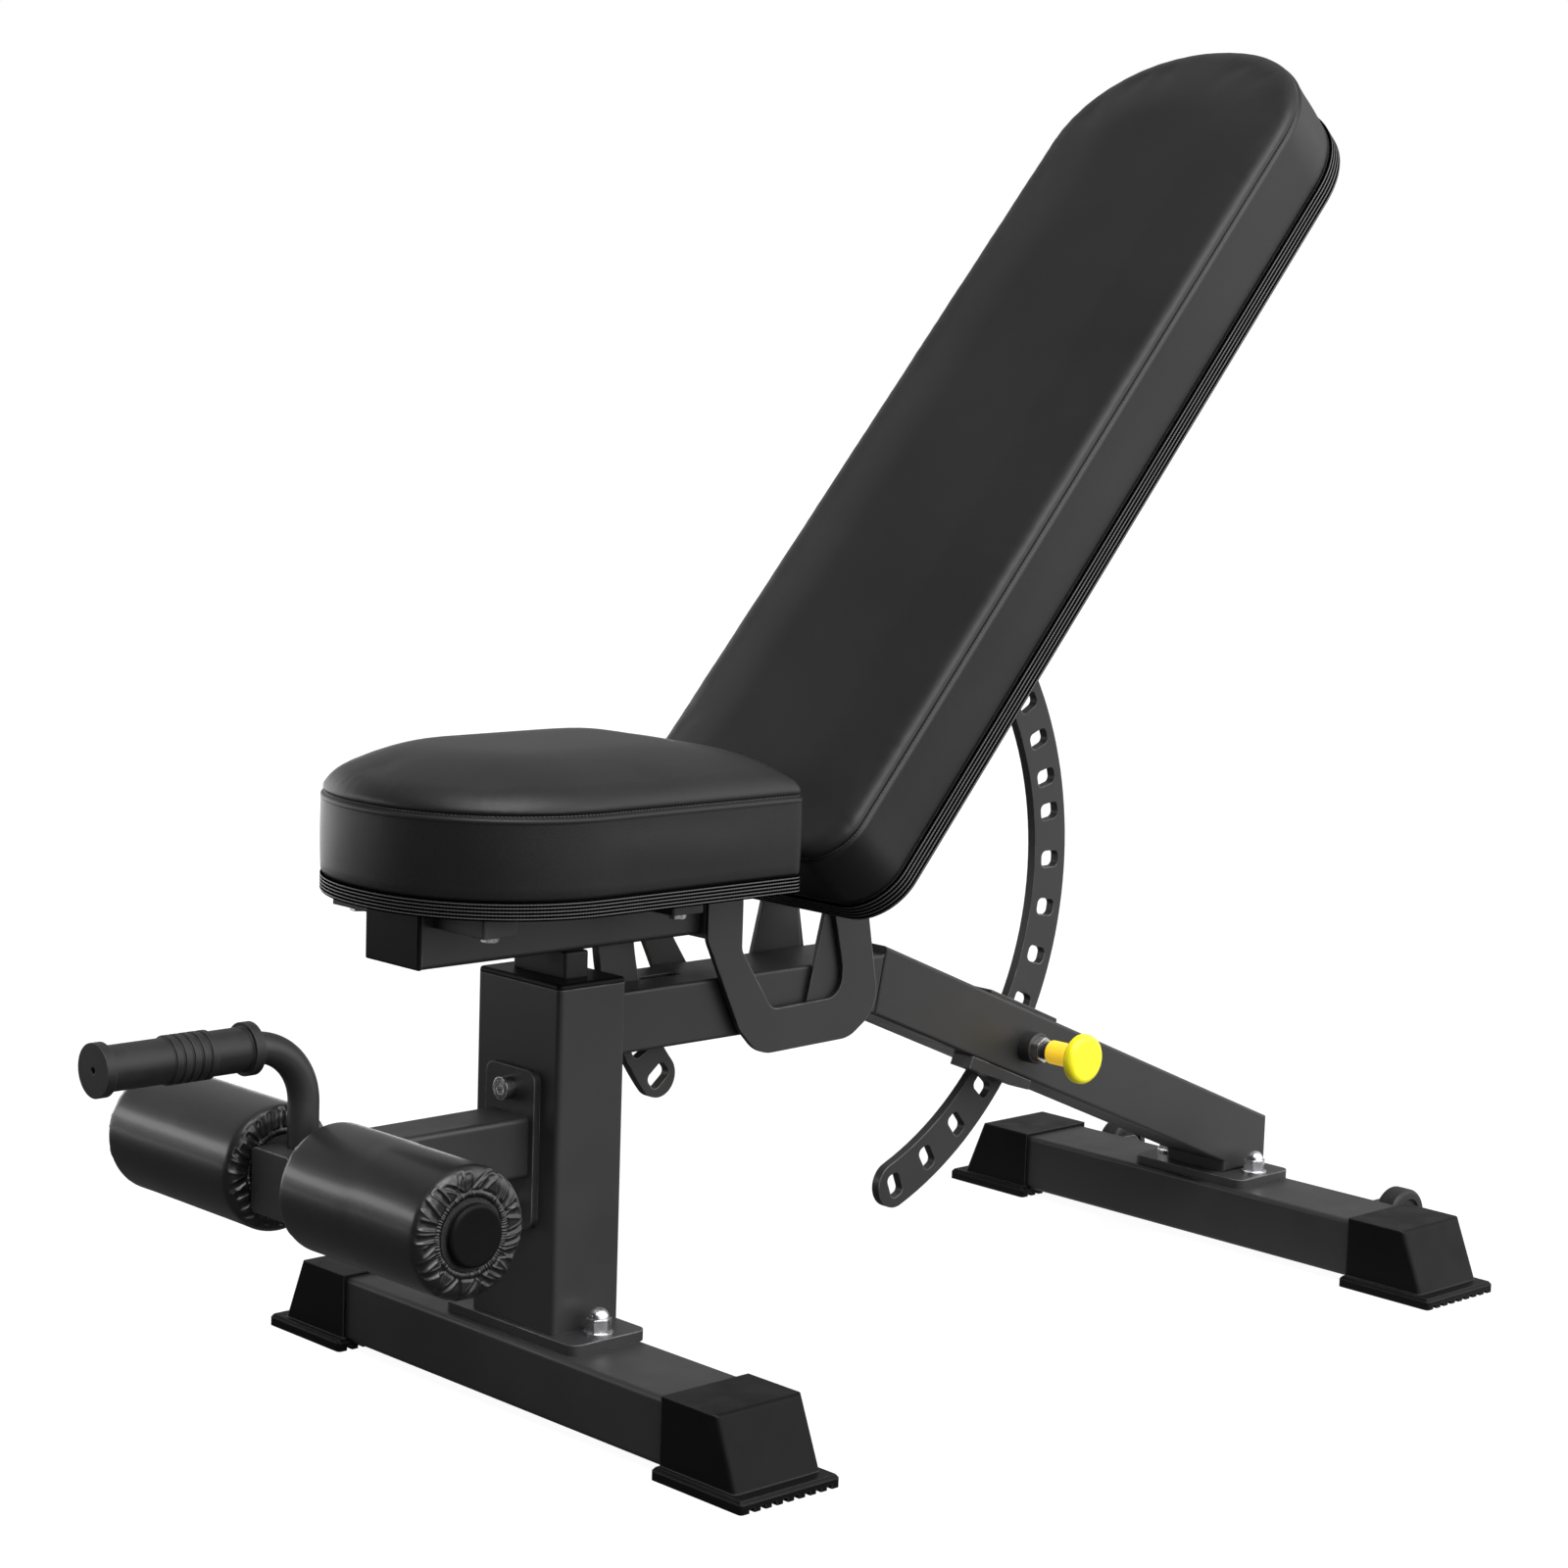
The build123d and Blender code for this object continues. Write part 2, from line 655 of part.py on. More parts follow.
def backrest_pad():
    base = board_back + board_thickness
    pad = Pos(0, 0, base) * extrude(back_outline(0), pad_face - base)
    return lean(fillet(pad.faces().sort_by(Axis.Z)[-1].edges(), pad_edge))


def backrest_tube():
    half = back_tube_width / 2
    tube = box(-half, half, 0, back_tube_length, back_tube_low, board_back)
    tube = fillet(long_edges(tube, Axis.Y), 4)
    tube -= box(-half + wall, half - wall, wall, back_tube_length - wall, back_tube_low + wall,
                board_back - wall)
    return lean(tube - rod(13, -half, half, 0, 0))


def backrest_pivot_bush():
    half = spine_half - loose_gap
    bush = rod(13, -half, half, pivot_y, pivot_z)
    return bush - rod(axle_radius + fit_gap, -half, half, pivot_y, pivot_z)


def cross_bracket(inner, reach, width, centre, top, hole_x):
    """Flat bracket on the +X side of a tube, under a board, with one screw hole."""
    bar = box(inner, reach, centre - width / 2, centre + width / 2, top - bracket_height, top)
    bar = fillet(bar.edges().filter_by(Axis.Z).sort_by(Axis.X)[-2:], 2)
    return bar - rod_z(screw_radius + 0.2, hole_x, centre, top - bracket_height, top)


def bracket_screw(x, y, top):
    low = top - bracket_height
    screw = rod_z(screw_radius, x, y, low, top + 12)
    return screw + hexagon_z(11, x, y, low - 4.5, low)


def backrest_brackets():
    pieces = []
    for s in back_bracket_places:
        wing = cross_bracket(back_tube_width / 2, back_bracket_reach, back_bracket_width, s,
                             board_back, back_screw_x)
        pieces += [lean(wing), lean(mirrored(wing))]
    return group(pieces)


def backrest_screws():
    pieces = []
    for s in back_bracket_places:
        for x in (-back_screw_x, back_screw_x):
            pieces.append(lean(bracket_screw(x, s, board_back)))
    return group(pieces)


def backrest_ladder():
    """Arc plate that sets the backrest; its root is cut to the tube's back face."""
    root = back_angle + degrees(atan2(back_tube_low, back_ladder_radius)) + 6
    lower = [back_pin_angle + back_step * step for step in range(-4, 6)]
    plate = ladder(back_ladder_radius, back_ladder_width, root, lower[0], lower + list(back_upper_angles))
    room = lean(box(-50, 50, -100, back_tube_length, back_tube_low, 120))
    return plate - room


# ---------------------------------------------------------------- seat
def seat_outline(grow):
    """Seat in plan: square back, half-ellipse nose."""
    half = seat_half_width + grow
    back = seat_back_y + grow
    nose_length = seat_straight_y - seat_nose_y + grow
    nose = EllipticalCenterArc((0, seat_straight_y), half, nose_length, 180, arc_size=180)
    right = Line(nose @ 1, (half, back))
    rear = Line((half, back), (-half, back))
    left = Line((-half, back), nose @ 0)
    face = make_face([nose, right, rear, left])
    return fillet(face.vertices().sort_by(Axis.Y)[-2:], seat_corner)


def seat_board():
    board = Pos(0, 0, seat_board_bottom) * extrude(seat_outline(1.0), seat_board_thickness)
    for y in seat_bracket_places:
        for x in (-seat_screw_x, seat_screw_x):
            board -= rod_z(screw_radius + 0.1, x, y, seat_board_bottom, seat_board_bottom + 12.5)
    return board


def seat_pad():
    base = seat_board_bottom + seat_board_thickness
    pad = Pos(0, 0, base) * extrude(seat_outline(0), seat_pad_top - base)
    return fillet(pad.faces().sort_by(Axis.Z)[-1].edges(), pad_edge)


def seat_tube():
    tube = box(-seat_tube_half, seat_tube_half, seat_tube_front, seat_tube_back,
               seat_tube_bottom, seat_board_bottom)
    tube = fillet(long_edges(tube, Axis.Y), 3.5)
    return tube - box(-seat_tube_half + wall, seat_tube_half - wall, seat_tube_front,
                      seat_tube_back, seat_tube_bottom + wall, seat_board_bottom - wall)


def seat_tube_cap():
    cap = box(-seat_tube_half, seat_tube_half, seat_tube_front - seat_cap_thickness,
              seat_tube_front, seat_tube_bottom, seat_board_bottom - 0.2)
    cap = fillet(long_edges(cap, Axis.Y) + cap.faces().sort_by(Axis.Y)[0].edges(), 1.4)
    plug = box(-seat_tube_half + wall, seat_tube_half - wall, seat_tube_front,
               seat_tube_front + 14, seat_tube_bottom + wall, seat_board_bottom - wall)
    return cap + plug


def seat_end_plate():
    """Cross plate that joins the tube's back end to the two arms."""
    return box(-arm_inner, arm_inner, seat_tube_back, seat_tube_back + end_plate_thickness,
               seat_tube_bottom - 2, seat_board_bottom - 12)


def seat_arm():
    """U-shaped plate on the +X side: one leg on the seat's end plate, the other on the pivot."""
    outer = [(122, 372), (122, 341), (157, 269), (178, 247), (274, 249), (306, 270), (300, 300)]
    window = [(157, 372), (157, 330), (190, 281), (264, 283), (265, 306), (254, 352)]
    eye_radius = 20.0
    corners = [(front_y + y, z) for y, z in outer]
    corners += [(pivot_y + eye_radius, pivot_z), (pivot_y - eye_radius, pivot_z)]
    inside = [(front_y + y, z) for y, z in reversed(window)]
    face = side_face(corners + inside, [5, 20, 40, 30, 30, 30, 20, 0, 0, 0, 12, 16, 12, 12, 5])
    face += Pos(pivot_y, pivot_z) * Circle(eye_radius)
    face -= Pos(pivot_y, pivot_z) * Circle(axle_radius + fit_gap)
    return side_plate(face, arm_inner, arm_inner + arm_thickness)


def seat_ladder():
    """Arc plate that sets the seat; its root is cut to the tube's bottom face."""
    holes = [seat_pin_angle + seat_step * step for step in range(3)]
    plate = ladder(seat_ladder_radius, seat_ladder_width, 178, holes[-1], holes)
    return plate - box(-50, 50, seat_tube_front, pivot_y, seat_tube_bottom, seat_pad_top)


def seat_brackets():
    pieces = []
    for y in seat_bracket_places:
        wing = cross_bracket(seat_tube_half, seat_bracket_reach, seat_bracket_width, y,
                             seat_board_bottom, seat_screw_x)
        pieces += [wing, mirrored(wing)]
    return group(pieces)


def seat_screws():
    pieces = []
    for y in seat_bracket_places:
        for x in (-seat_screw_x, seat_screw_x):
            pieces.append(bracket_screw(x, y, seat_board_bottom))
    return group(pieces)


# ---------------------------------------------------------------- assembly
back_pin = back_pin_centre()
seat_pin = about_pivot(seat_ladder_radius, seat_pin_angle)
front_foot = foot_cap(front_y)
rear_foot = foot_cap(rear_y)
foam = roller_foam()
cover = roller_cover()
plus_wheel = wheel()
bracket = pivot_bracket()
arm = seat_arm()

nodes = {
    "front_crossbar": crossbar(front_y, front_bolt_x),
    "rear_crossbar": crossbar(rear_y, rear_bolt_x),
    "front_foot_caps": both_sides(front_foot),
    "rear_foot_caps": both_sides(rear_foot),
    "main_post": main_post(),
    "post_base_plate": base_plate(front_plate_half_x, post_y, front_bolt_x),
    "post_cap": post_cap(),
    "seat_bumper": seat_bumper(),
    "spine_tube": spine_tube(),
    "rear_leg": rear_leg(),
    "rear_base_plate": base_plate(rear_plate_half_x, rear_plate_y, rear_bolt_x),
    "crossbar_bolts": crossbar_bolts(),
    "ladder_guide_upper": ladder_guide_upper(),
    "ladder_guide_lower": ladder_guide_lower(),
    "pivot_bracket_right": bracket,
    "pivot_bracket_left": mirrored(bracket),
    "pivot_axle": pivot_axle(),
    "pivot_axle_nut": pivot_axle_nut(),
    "leg_hold_flange": leg_hold_flange(),
    "leg_hold_tube": leg_hold_tube(),
    "leg_hold_bolts": leg_hold_bolts(),
    "roller_axle": roller_axle(),
    "roller_end_caps": roller_end_caps(),
    "handle_tube": handle_tube(),
    "handle_grip": handle_grip(),
    "wheel_brackets": wheel_brackets(),
    "wheel_axles": wheel_axles(),
    "back_pin_sleeve": pin_sleeve(*back_pin),
    "seat_pin_sleeve": mirrored(pin_sleeve(*seat_pin)),
    "pin_lock_nuts": group([pin_lock_nut(*back_pin), mirrored(pin_lock_nut(*seat_pin))]),
    "back_pin": pop_pin(*back_pin),
    "back_pin_knob": pin_knob(*back_pin),
    "back_pin_spring": pin_spring(*back_pin),
    "seat_pin": mirrored(pop_pin(*seat_pin)),
    "seat_pin_knob": mirrored(pin_knob(*seat_pin)),
    "seat_pin_spring": mirrored(pin_spring(*seat_pin)),
    "roller_foam_right": foam,
    "roller_foam_left": mirrored(foam),
    "roller_cover_right": cover,
    "roller_cover_left": mirrored(cover),
    "transport_wheel_right": plus_wheel,
    "transport_wheel_left": mirrored(plus_wheel),
    "backrest_pad": backrest_pad(),
    "backrest_board": backrest_board(),
    "backrest_tube": backrest_tube(),
    "backrest_pivot_bush": backrest_pivot_bush(),
    "backrest_ladder": backrest_ladder(),
    "backrest_brackets": backrest_brackets(),
    "backrest_screws": backrest_screws(),
    "seat_pad": seat_pad(),
    "seat_board": seat_board(),
    "seat_tube": seat_tube(),
    "seat_tube_cap": seat_tube_cap(),
    "seat_end_plate": seat_end_plate(),
    "seat_arm_right": arm,
    "seat_arm_left": mirrored(arm),
    "seat_ladder": seat_ladder(),
    "seat_brackets": seat_brackets(),
    "seat_screws": seat_screws(),
}

os.makedirs("parts", exist_ok=True)
for name, shape in nodes.items():
    export_step(shape, f"parts/{name}.step")
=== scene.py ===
"""Looks of the decline sit-up bench: upholstery, roller covers, materials, light and camera."""
import math

import bmesh
import bpy
import numpy as np
from mathutils import Matrix, Vector, kdtree


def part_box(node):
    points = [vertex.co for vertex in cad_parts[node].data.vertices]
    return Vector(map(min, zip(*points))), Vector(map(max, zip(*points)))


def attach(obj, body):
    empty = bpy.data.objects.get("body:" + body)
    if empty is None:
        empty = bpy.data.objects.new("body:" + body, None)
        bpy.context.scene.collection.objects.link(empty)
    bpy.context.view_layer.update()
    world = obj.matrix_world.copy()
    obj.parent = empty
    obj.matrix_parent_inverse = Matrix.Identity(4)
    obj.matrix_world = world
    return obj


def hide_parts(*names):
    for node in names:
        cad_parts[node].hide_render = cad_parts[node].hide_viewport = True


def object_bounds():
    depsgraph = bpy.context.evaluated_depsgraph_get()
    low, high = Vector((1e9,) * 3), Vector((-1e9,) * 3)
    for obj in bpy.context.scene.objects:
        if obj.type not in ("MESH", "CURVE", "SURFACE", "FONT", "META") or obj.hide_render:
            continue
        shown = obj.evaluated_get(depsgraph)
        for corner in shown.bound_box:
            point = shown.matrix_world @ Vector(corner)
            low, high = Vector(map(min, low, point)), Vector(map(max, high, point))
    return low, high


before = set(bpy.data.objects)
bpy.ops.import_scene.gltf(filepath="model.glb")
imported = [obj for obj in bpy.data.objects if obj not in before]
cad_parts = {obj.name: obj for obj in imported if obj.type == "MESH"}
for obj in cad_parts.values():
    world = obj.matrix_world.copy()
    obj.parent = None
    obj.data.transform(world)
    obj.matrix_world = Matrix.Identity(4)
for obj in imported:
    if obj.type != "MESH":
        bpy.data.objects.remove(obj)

cad_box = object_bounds()
MM = 0.001
rng = np.random.default_rng(7)

# ---------------------------------------------------------------- driving values, in millimetres
OUTLINE_STEP = 4.0              # spacing of points round a pad
CENTRE_GAP = 1.0                # from a pad's innermost ring to its middle line
BACK_END, SEAT_END = 106.0, 122.0           # length of a pad's round end
BACK_CORNER, SEAT_CORNER = 40.0, 9.0        # corner radius at a pad's square end
BACK_SEAM, SEAT_SEAM = 13.0, 15.0           # from a pad's top down to the welt round its side
BACK_CROWN, SEAT_CROWN = 2.0, 20.0          # how far the stuffing stands above the edge in the middle
BACK_SWELL, SEAT_SWELL = 5.0, 6.0           # most that the cloth simulation may add
BACK_BAND, SEAT_BAND = 2.0, 0.0             # how far the edge band stands outside the pad's side
END_FULLNESS = 0.93             # below 1 the round end is fuller than an ellipse
CROWN_POWER = 3.4               # higher for a flatter crown that falls off nearer the sides
SQUARE_END_RISE = 9.0           # distance over which the crown fades at a pad's square end
LOWER_ROLL = ((6.0, 0.0, 0.0), (2.2, 0.2, 0.0), (0.9, 1.2, 0.0),
              (0.4, 3.0, 0.1))  # (inset, rise, share of the swelling) of a pad's lower edge
WELT = ((0.0, -0.6), (-0.2, 0.2), (-0.25, 1.2), (-0.1, 2.1), (0.5, 2.8), (1.4, 3.3), (2.2, 3.9), (2.5, 4.7),
        (2.3, 5.6), (1.7, 6.3), (1.4, 7.0))     # (inset, rise) of the lip and the gutter above it
ROLL_WIDTH = 15.0               # rounding from the gutter to the top panel
FINE_PUCKER, BROAD_PUCKER = 0.16, 0.14      # heights of the puckers along the seam
PUCKER_PLACE, PUCKER_SPREAD = 7.0, 8.0      # how far in they are highest, and how wide they spread

STITCH_INSET, STITCH_RISE = 1.95, 4.7       # place of the stitches in the gutter, from the side wall's top
STITCH_PITCH, STITCH_LENGTH, STITCH_RADIUS = 2.9, 2.1, 0.34

BAND_RIBS, RIB_POINTS = 5, 7
RIB_DEPTH = 1.75                # from a rib's crest down to the groove
WEAVE_PITCH = 2.4               # from knot to knot along a rib
HEM = 20.0                      # cover folded under the board, to where the dust cloth starts
HEM_THICKNESS = 1.0
STAPLE_PITCH = 38.0
STAPLE_CROWN, STAPLE_DROP, STAPLE_RADIUS = 10.0, 1.6, 0.55
WIRE_SIDES = 6                  # sides of a thread's or a staple's section

SIM_STEP = 12.0                 # spacing of points round the form that the simulation swells
SIM_VOXEL = 7.0                 # cell size of that form's mesh
SIM_FRAMES = 20

PLEATS = 27
DEEPEST_PLEAT, HIGHEST_PLEAT = -1.35, 1.25
ROLLER_SEGMENTS = 460
ROLLER_SHOULDER = 9.0           # rounding at a roller's ends
ROLLER_BORE = ((14.0, 13.4), (3.2, 13.4), (2.6, 14.6), (2.6, 19.0), (2.6, 22.0), (2.4, 23.6), (1.6, 24.5),
               (0.8, 25.3), (0.3, 26.3), (0.05, 27.4), (0.2, 28.5), (0.85, 29.2), (0.95, 29.8),
               (0.25, 30.6))    # (depth from the end, radius) from the bore out to the gathered cover
ROLLER_FACE_START = 31.4        # radius where the gathered cover's flat end starts

CAMERA_PLACE = (1.82157, -1.75345, 0.77747)     # metres
CAMERA_AZIMUTH, CAMERA_ELEVATION, CAMERA_ROLL = 46.294, 7.479, 1.847    # degrees
CAMERA_SENSOR, CAMERA_LENS = 36.0, 75.26


# ---------------------------------------------------------------- node materials
class Shader:
    """A node material being built round one Principled BSDF."""

    def __init__(self, name):
        self.material = bpy.data.materials.new(name)
        self.material.use_nodes = True
        self.tree = self.material.node_tree
        self.surface = self.tree.nodes["Principled BSDF"]
        self.place = self.node("ShaderNodeTexCoord").outputs["Object"]

    def feed(self, socket, value):
        """Gives an input a value, or links another node's output to it."""
        if isinstance(value, bpy.types.NodeSocket):
            self.tree.links.new(value, socket)
        else:
            socket.default_value = value

    def set(self, node, **inputs):
        """Feeds a node's inputs by name, with _ for a space."""
        for key, value in inputs.items():
            self.feed(node.inputs[key.replace("_", " ")], value)
        return node

    def node(self, kind, settings=(), **inputs):
        made = self.tree.nodes.new(kind)
        for key, value in dict(settings).items():
            setattr(made, key, value)
        return self.set(made, **inputs)

    def math(self, operation, a, b=0.0, c=0.0):
        made = self.node("ShaderNodeMath", {"operation": operation})
        for socket, value in zip(made.inputs, (a, b, c)):
            self.feed(socket, value)
        return made.outputs[0]

    def vector_math(self, operation, a, b):
        """Vector arithmetic, where a second input that is a number scales the first."""
        made = self.node("ShaderNodeVectorMath", {"operation": operation})
        self.feed(made.inputs[0], a)
        self.feed(made.inputs["Scale"] if operation == "SCALE" else made.inputs[1], b)
        return made.outputs["Value"] if operation == "DOT_PRODUCT" else made.outputs["Vector"]

    def noise(self, scale, detail=2.0, roughness=0.5):
        return self.node("ShaderNodeTexNoise", Vector=self.place, Scale=scale, Detail=detail,
                         Roughness=roughness).outputs["Fac"]

    def cells(self, scale, feature="DISTANCE_TO_EDGE", place=None):
        return self.node("ShaderNodeTexVoronoi", {"feature": feature}, Scale=scale,
                         Vector=self.place if place is None else place).outputs["Distance"]

    def ramp(self, value, low, high, to_low=0.0, to_high=1.0):
        return self.node("ShaderNodeMapRange", {"interpolation_type": "SMOOTHSTEP"}, Value=value,
                         From_Min=low, From_Max=high, To_Min=to_low, To_Max=to_high).outputs["Result"]

    def blend(self, factor, a, b):
        """Colour a where factor is 0, b where it is 1."""
        made = self.node("ShaderNodeMix", {"data_type": "RGBA"})
        mix_factor, colour_a, colour_b = (made.inputs[k] for k in (0, 6, 7))
        self.feed(mix_factor, factor)
        self.feed(colour_a, (*a, 1.0) if isinstance(a, tuple) else a)
        self.feed(colour_b, (*b, 1.0))
        return made.outputs[2]

    def rounded(self, radius):
        """Shading normal with its edges rounded off, and how much of an edge a point is on."""
        soft = self.node("ShaderNodeBevel", {"samples": 6}, Radius=radius * MM).outputs[0]
        true = self.node("ShaderNodeNewGeometry").outputs["Normal"]
        return soft, self.ramp(self.vector_math("DOT_PRODUCT", soft, true), 0.995, 0.86)

    def bump(self, height, distance, strength=1.0, normal=None):
        made = self.node("ShaderNodeBump", Height=height, Distance=distance * MM, Strength=strength)
        if normal is not None:
            self.feed(made.inputs["Normal"], normal)
        return made.outputs[0]

    def split(self, vector):
        """A vector's x, y and z."""
        return self.node("ShaderNodeSeparateXYZ", Vector=vector).outputs


def powder_coat():
    """Satin black powder coat: orange peel, a little mottling, and edges painted lighter, partly rubbed wear
    and partly a painted highlight.
    """
    s = Shader("powder_coat")
    soft, edge = s.rounded(1.6)
    mottle = s.ramp(s.noise(9.0, 4.0), 0.3, 0.7)
    colour = s.blend(mottle, (0.020, 0.020, 0.021), (0.026, 0.026, 0.027))
    # edges painted lighter in patches: partly wear, partly a painted highlight along the rounded edges
    worn_and_highlit_edge = s.math("MULTIPLY", edge, s.ramp(s.noise(60.0, 3.0), 0.35, 0.62, 0.35, 1.0))
    peel = s.math("ADD", s.noise(650.0, 2.0), s.math("MULTIPLY", s.noise(2600.0, 1.0), 0.35))
    s.set(s.surface, Base_Color=s.blend(worn_and_highlit_edge, colour, (0.2, 0.2, 0.203)),
          Roughness=s.ramp(s.noise(24.0, 4.0), 0.25, 0.75, 0.40, 0.5), Specular_IOR_Level=0.5,
          Normal=s.bump(peel, 0.05, 0.35, soft))
    return s.material


def zinc_plate():
    """Bright zinc: fine turning marks and cloudy roughness."""
    s = Shader("zinc_plate")
    soft, _ = s.rounded(0.5)
    cloud = s.noise(180.0, 4.0)
    s.set(s.surface, Base_Color=s.blend(cloud, (0.62, 0.62, 0.64), (0.86, 0.86, 0.88)), Metallic=1.0,
          Roughness=s.ramp(cloud, 0.3, 0.7, 0.16, 0.32), Normal=s.bump(s.noise(2400.0, 2.0), 0.02, 0.3, soft))
    return s.material


def moulded_plastic():
    """Satin black polypropylene with a spark-eroded grain, soft moulded edges and a painted highlight along
    them.
    """
    s = Shader("moulded_plastic")
    soft, edge = s.rounded(2.0)
    # edges painted lighter: a painted highlight along the rounded edges
    colour = s.blend(edge, (0.005, 0.005, 0.0052), (0.045, 0.045, 0.046))
    grain = s.math("ADD", s.noise(1500.0, 3.0), s.math("MULTIPLY", s.cells(900.0), 0.4))
    s.set(s.surface, Base_Color=colour, Roughness=s.ramp(s.noise(35.0, 3.0), 0.3, 0.7, 0.36, 0.46),
          Specular_IOR_Level=0.1, Normal=s.bump(grain, 0.05, 0.3, soft))
    return s.material


def rubber():
    """Matt black rubber with a dusty bloom, its edges painted lighter as a painted highlight."""
    s = Shader("rubber")
    soft, edge = s.rounded(0.9)
    bloom = s.ramp(s.noise(45.0, 5.0), 0.35, 0.75)
    # the dusty bloom is the rubber's own tone; the lighter edges are a painted highlight
    colour = s.blend(edge, s.blend(bloom, (0.014, 0.014, 0.014), (0.022, 0.022, 0.022)), (0.06, 0.06, 0.06))
    s.set(s.surface, Base_Color=colour, Roughness=s.ramp(bloom, 0.0, 1.0, 0.42, 0.55),
          Specular_IOR_Level=0.3, Normal=s.bump(s.noise(1900.0, 3.0), 0.06, 0.4, soft))
    return s.material


def leather(name, dark, light, roughness, grain_scale, grain_depth, coat=0.0, gloss=0.5):
    """Black synthetic leather: pebbled grain over fine creases, lighter on the tops of the pebbles."""
    s = Shader(name)
    warp = s.node("ShaderNodeTexNoise", Vector=s.place, Scale=grain_scale * 0.6, Detail=2.0)
    shift = s.vector_math("SCALE", warp.outputs["Color"], 0.55 / grain_scale)
    pebble = s.ramp(s.cells(grain_scale, place=s.vector_math("ADD", s.place, shift)), 0.0, 0.16)
    fine = s.noise(grain_scale * 3.5, 3.0)
    height = s.math("ADD", pebble, s.math("MULTIPLY", fine, 0.4))
    broad = s.ramp(s.noise(7.0, 4.0), 0.3, 0.7)
    tone = s.math("MULTIPLY", s.math("ADD", s.math("MULTIPLY", pebble, 0.6), 0.4), broad)
    s.set(s.surface, Base_Color=s.blend(tone, dark, light),
          Roughness=s.ramp(fine, 0.3, 0.7, roughness - 0.04, roughness + 0.05),
          Specular_IOR_Level=gloss, Coat_Weight=coat, Coat_Roughness=0.18,
          Normal=s.bump(height, grain_depth, 0.5))
    return s.material


def ribbed_band():
    """Black edge band with glossy woven ribs, its crests' knots painted light as a highlight and its grooves
    near black as painted shade; its map runs along the band and from groove 0 to crest 1.
    """
    s = Shader("ribbed_band")
    run, rib, _ = s.split(s.node("ShaderNodeUVMap", {"uv_map": "band"}).outputs[0])
    crest = s.ramp(rib, 0.87, 1.0)
    weave = s.math("SINE", s.math("MULTIPLY", run, 2 * math.pi / WEAVE_PITCH))
    # the weave is the band's own; colour is lighter on the knots along each crest as a painted highlight and
    # near black elsewhere as painted shade in the grooves, which also lose their specular reflection
    highlit_knots = s.math("MULTIPLY", crest, s.ramp(weave, -0.8, 0.4, 0.6, 1.0))
    s.set(s.surface, Base_Color=s.blend(highlit_knots, (0.001, 0.001, 0.001), (0.1, 0.1, 0.101)),
          Roughness=s.ramp(highlit_knots, 0.0, 1.0, 0.6, 0.34), Specular_IOR_Level=highlit_knots,
          Normal=s.bump(weave, 0.08, 0.5))
    return s.material


def dust_cloth():
    """Non-woven black cloth under the boards, with its dimpled bonding pattern."""
    s = Shader("dust_cloth")
    dimples = s.ramp(s.cells(420.0, "F1"), 0.1, 0.45)
    fibres = s.noise(1800.0, 5.0, 0.7)
    colour = s.blend(s.math("MULTIPLY", dimples, fibres), (0.008, 0.008, 0.008), (0.03, 0.03, 0.03))
    s.set(s.surface, Base_Color=colour, Roughness=0.92, Specular_IOR_Level=0.2,
          Normal=s.bump(s.math("ADD", dimples, fibres), 0.12, 0.6))
    return s.material


def foam():
    """Closed-cell foam."""
    s = Shader("foam")
    cells = s.cells(900.0)
    colour = s.blend(s.ramp(cells, 0.0, 0.3), (0.012, 0.012, 0.012), (0.045, 0.045, 0.045))
    s.set(s.surface, Base_Color=colour, Roughness=0.9, Normal=s.bump(cells, 0.2, 0.6))
    return s.material


def thread():
    """Twisted black polyester thread."""
    s = Shader("thread")
    twist = s.noise(3200.0, 2.0)
    s.set(s.surface, Base_Color=s.blend(twist, (0.03, 0.03, 0.03), (0.12, 0.12, 0.12)), Roughness=0.5,
          Normal=s.bump(twist, 0.05, 0.5))
    return s.material


def knob_yellow():
    """Bright yellow moulded knob: the deeper orange along its stem is painted shade, and an emission
    strongest on the stem is painted light.
    """
    s = Shader("knob_yellow")
    soft, _ = s.rounded(1.0)
    away = s.math("ABSOLUTE", s.split(s.place)[0])
    head = s.ramp(away, 0.084, 0.091)
    # deeper orange on the stem than on the head: painted shade
    base = s.blend(head, (1.0, 0.64, 0.04), (1.0, 0.9, 0.02))
    fleck = s.noise(60.0, 3.0)
    # the emission makes the knob glow, most along its stem: painted light
    s.set(s.surface, Base_Color=s.blend(s.ramp(fleck, 0.6, 0.95), base, (1.0, 0.78, 0.02)),
          Roughness=s.ramp(fleck, 0.3, 0.7, 0.3, 0.4), Subsurface_Weight=0.15, Subsurface_Scale=0.004,
          Emission_Color=base, Emission_Strength=s.math("SUBTRACT", 0.5, s.math("MULTIPLY", head, 0.42)),
          Normal=s.bump(s.noise(900.0, 2.0), 0.03, 0.3, soft))
    return s.material


def staple_wire():
    """Galvanised staple wire."""
    s = Shader("staple_wire")
    streak = s.noise(900.0, 2.0)
    s.set(s.surface, Base_Color=s.blend(streak, (0.35, 0.35, 0.36), (0.6, 0.6, 0.62)), Metallic=1.0,
          Roughness=0.35, Normal=s.bump(streak, 0.03, 0.4))
    return s.material


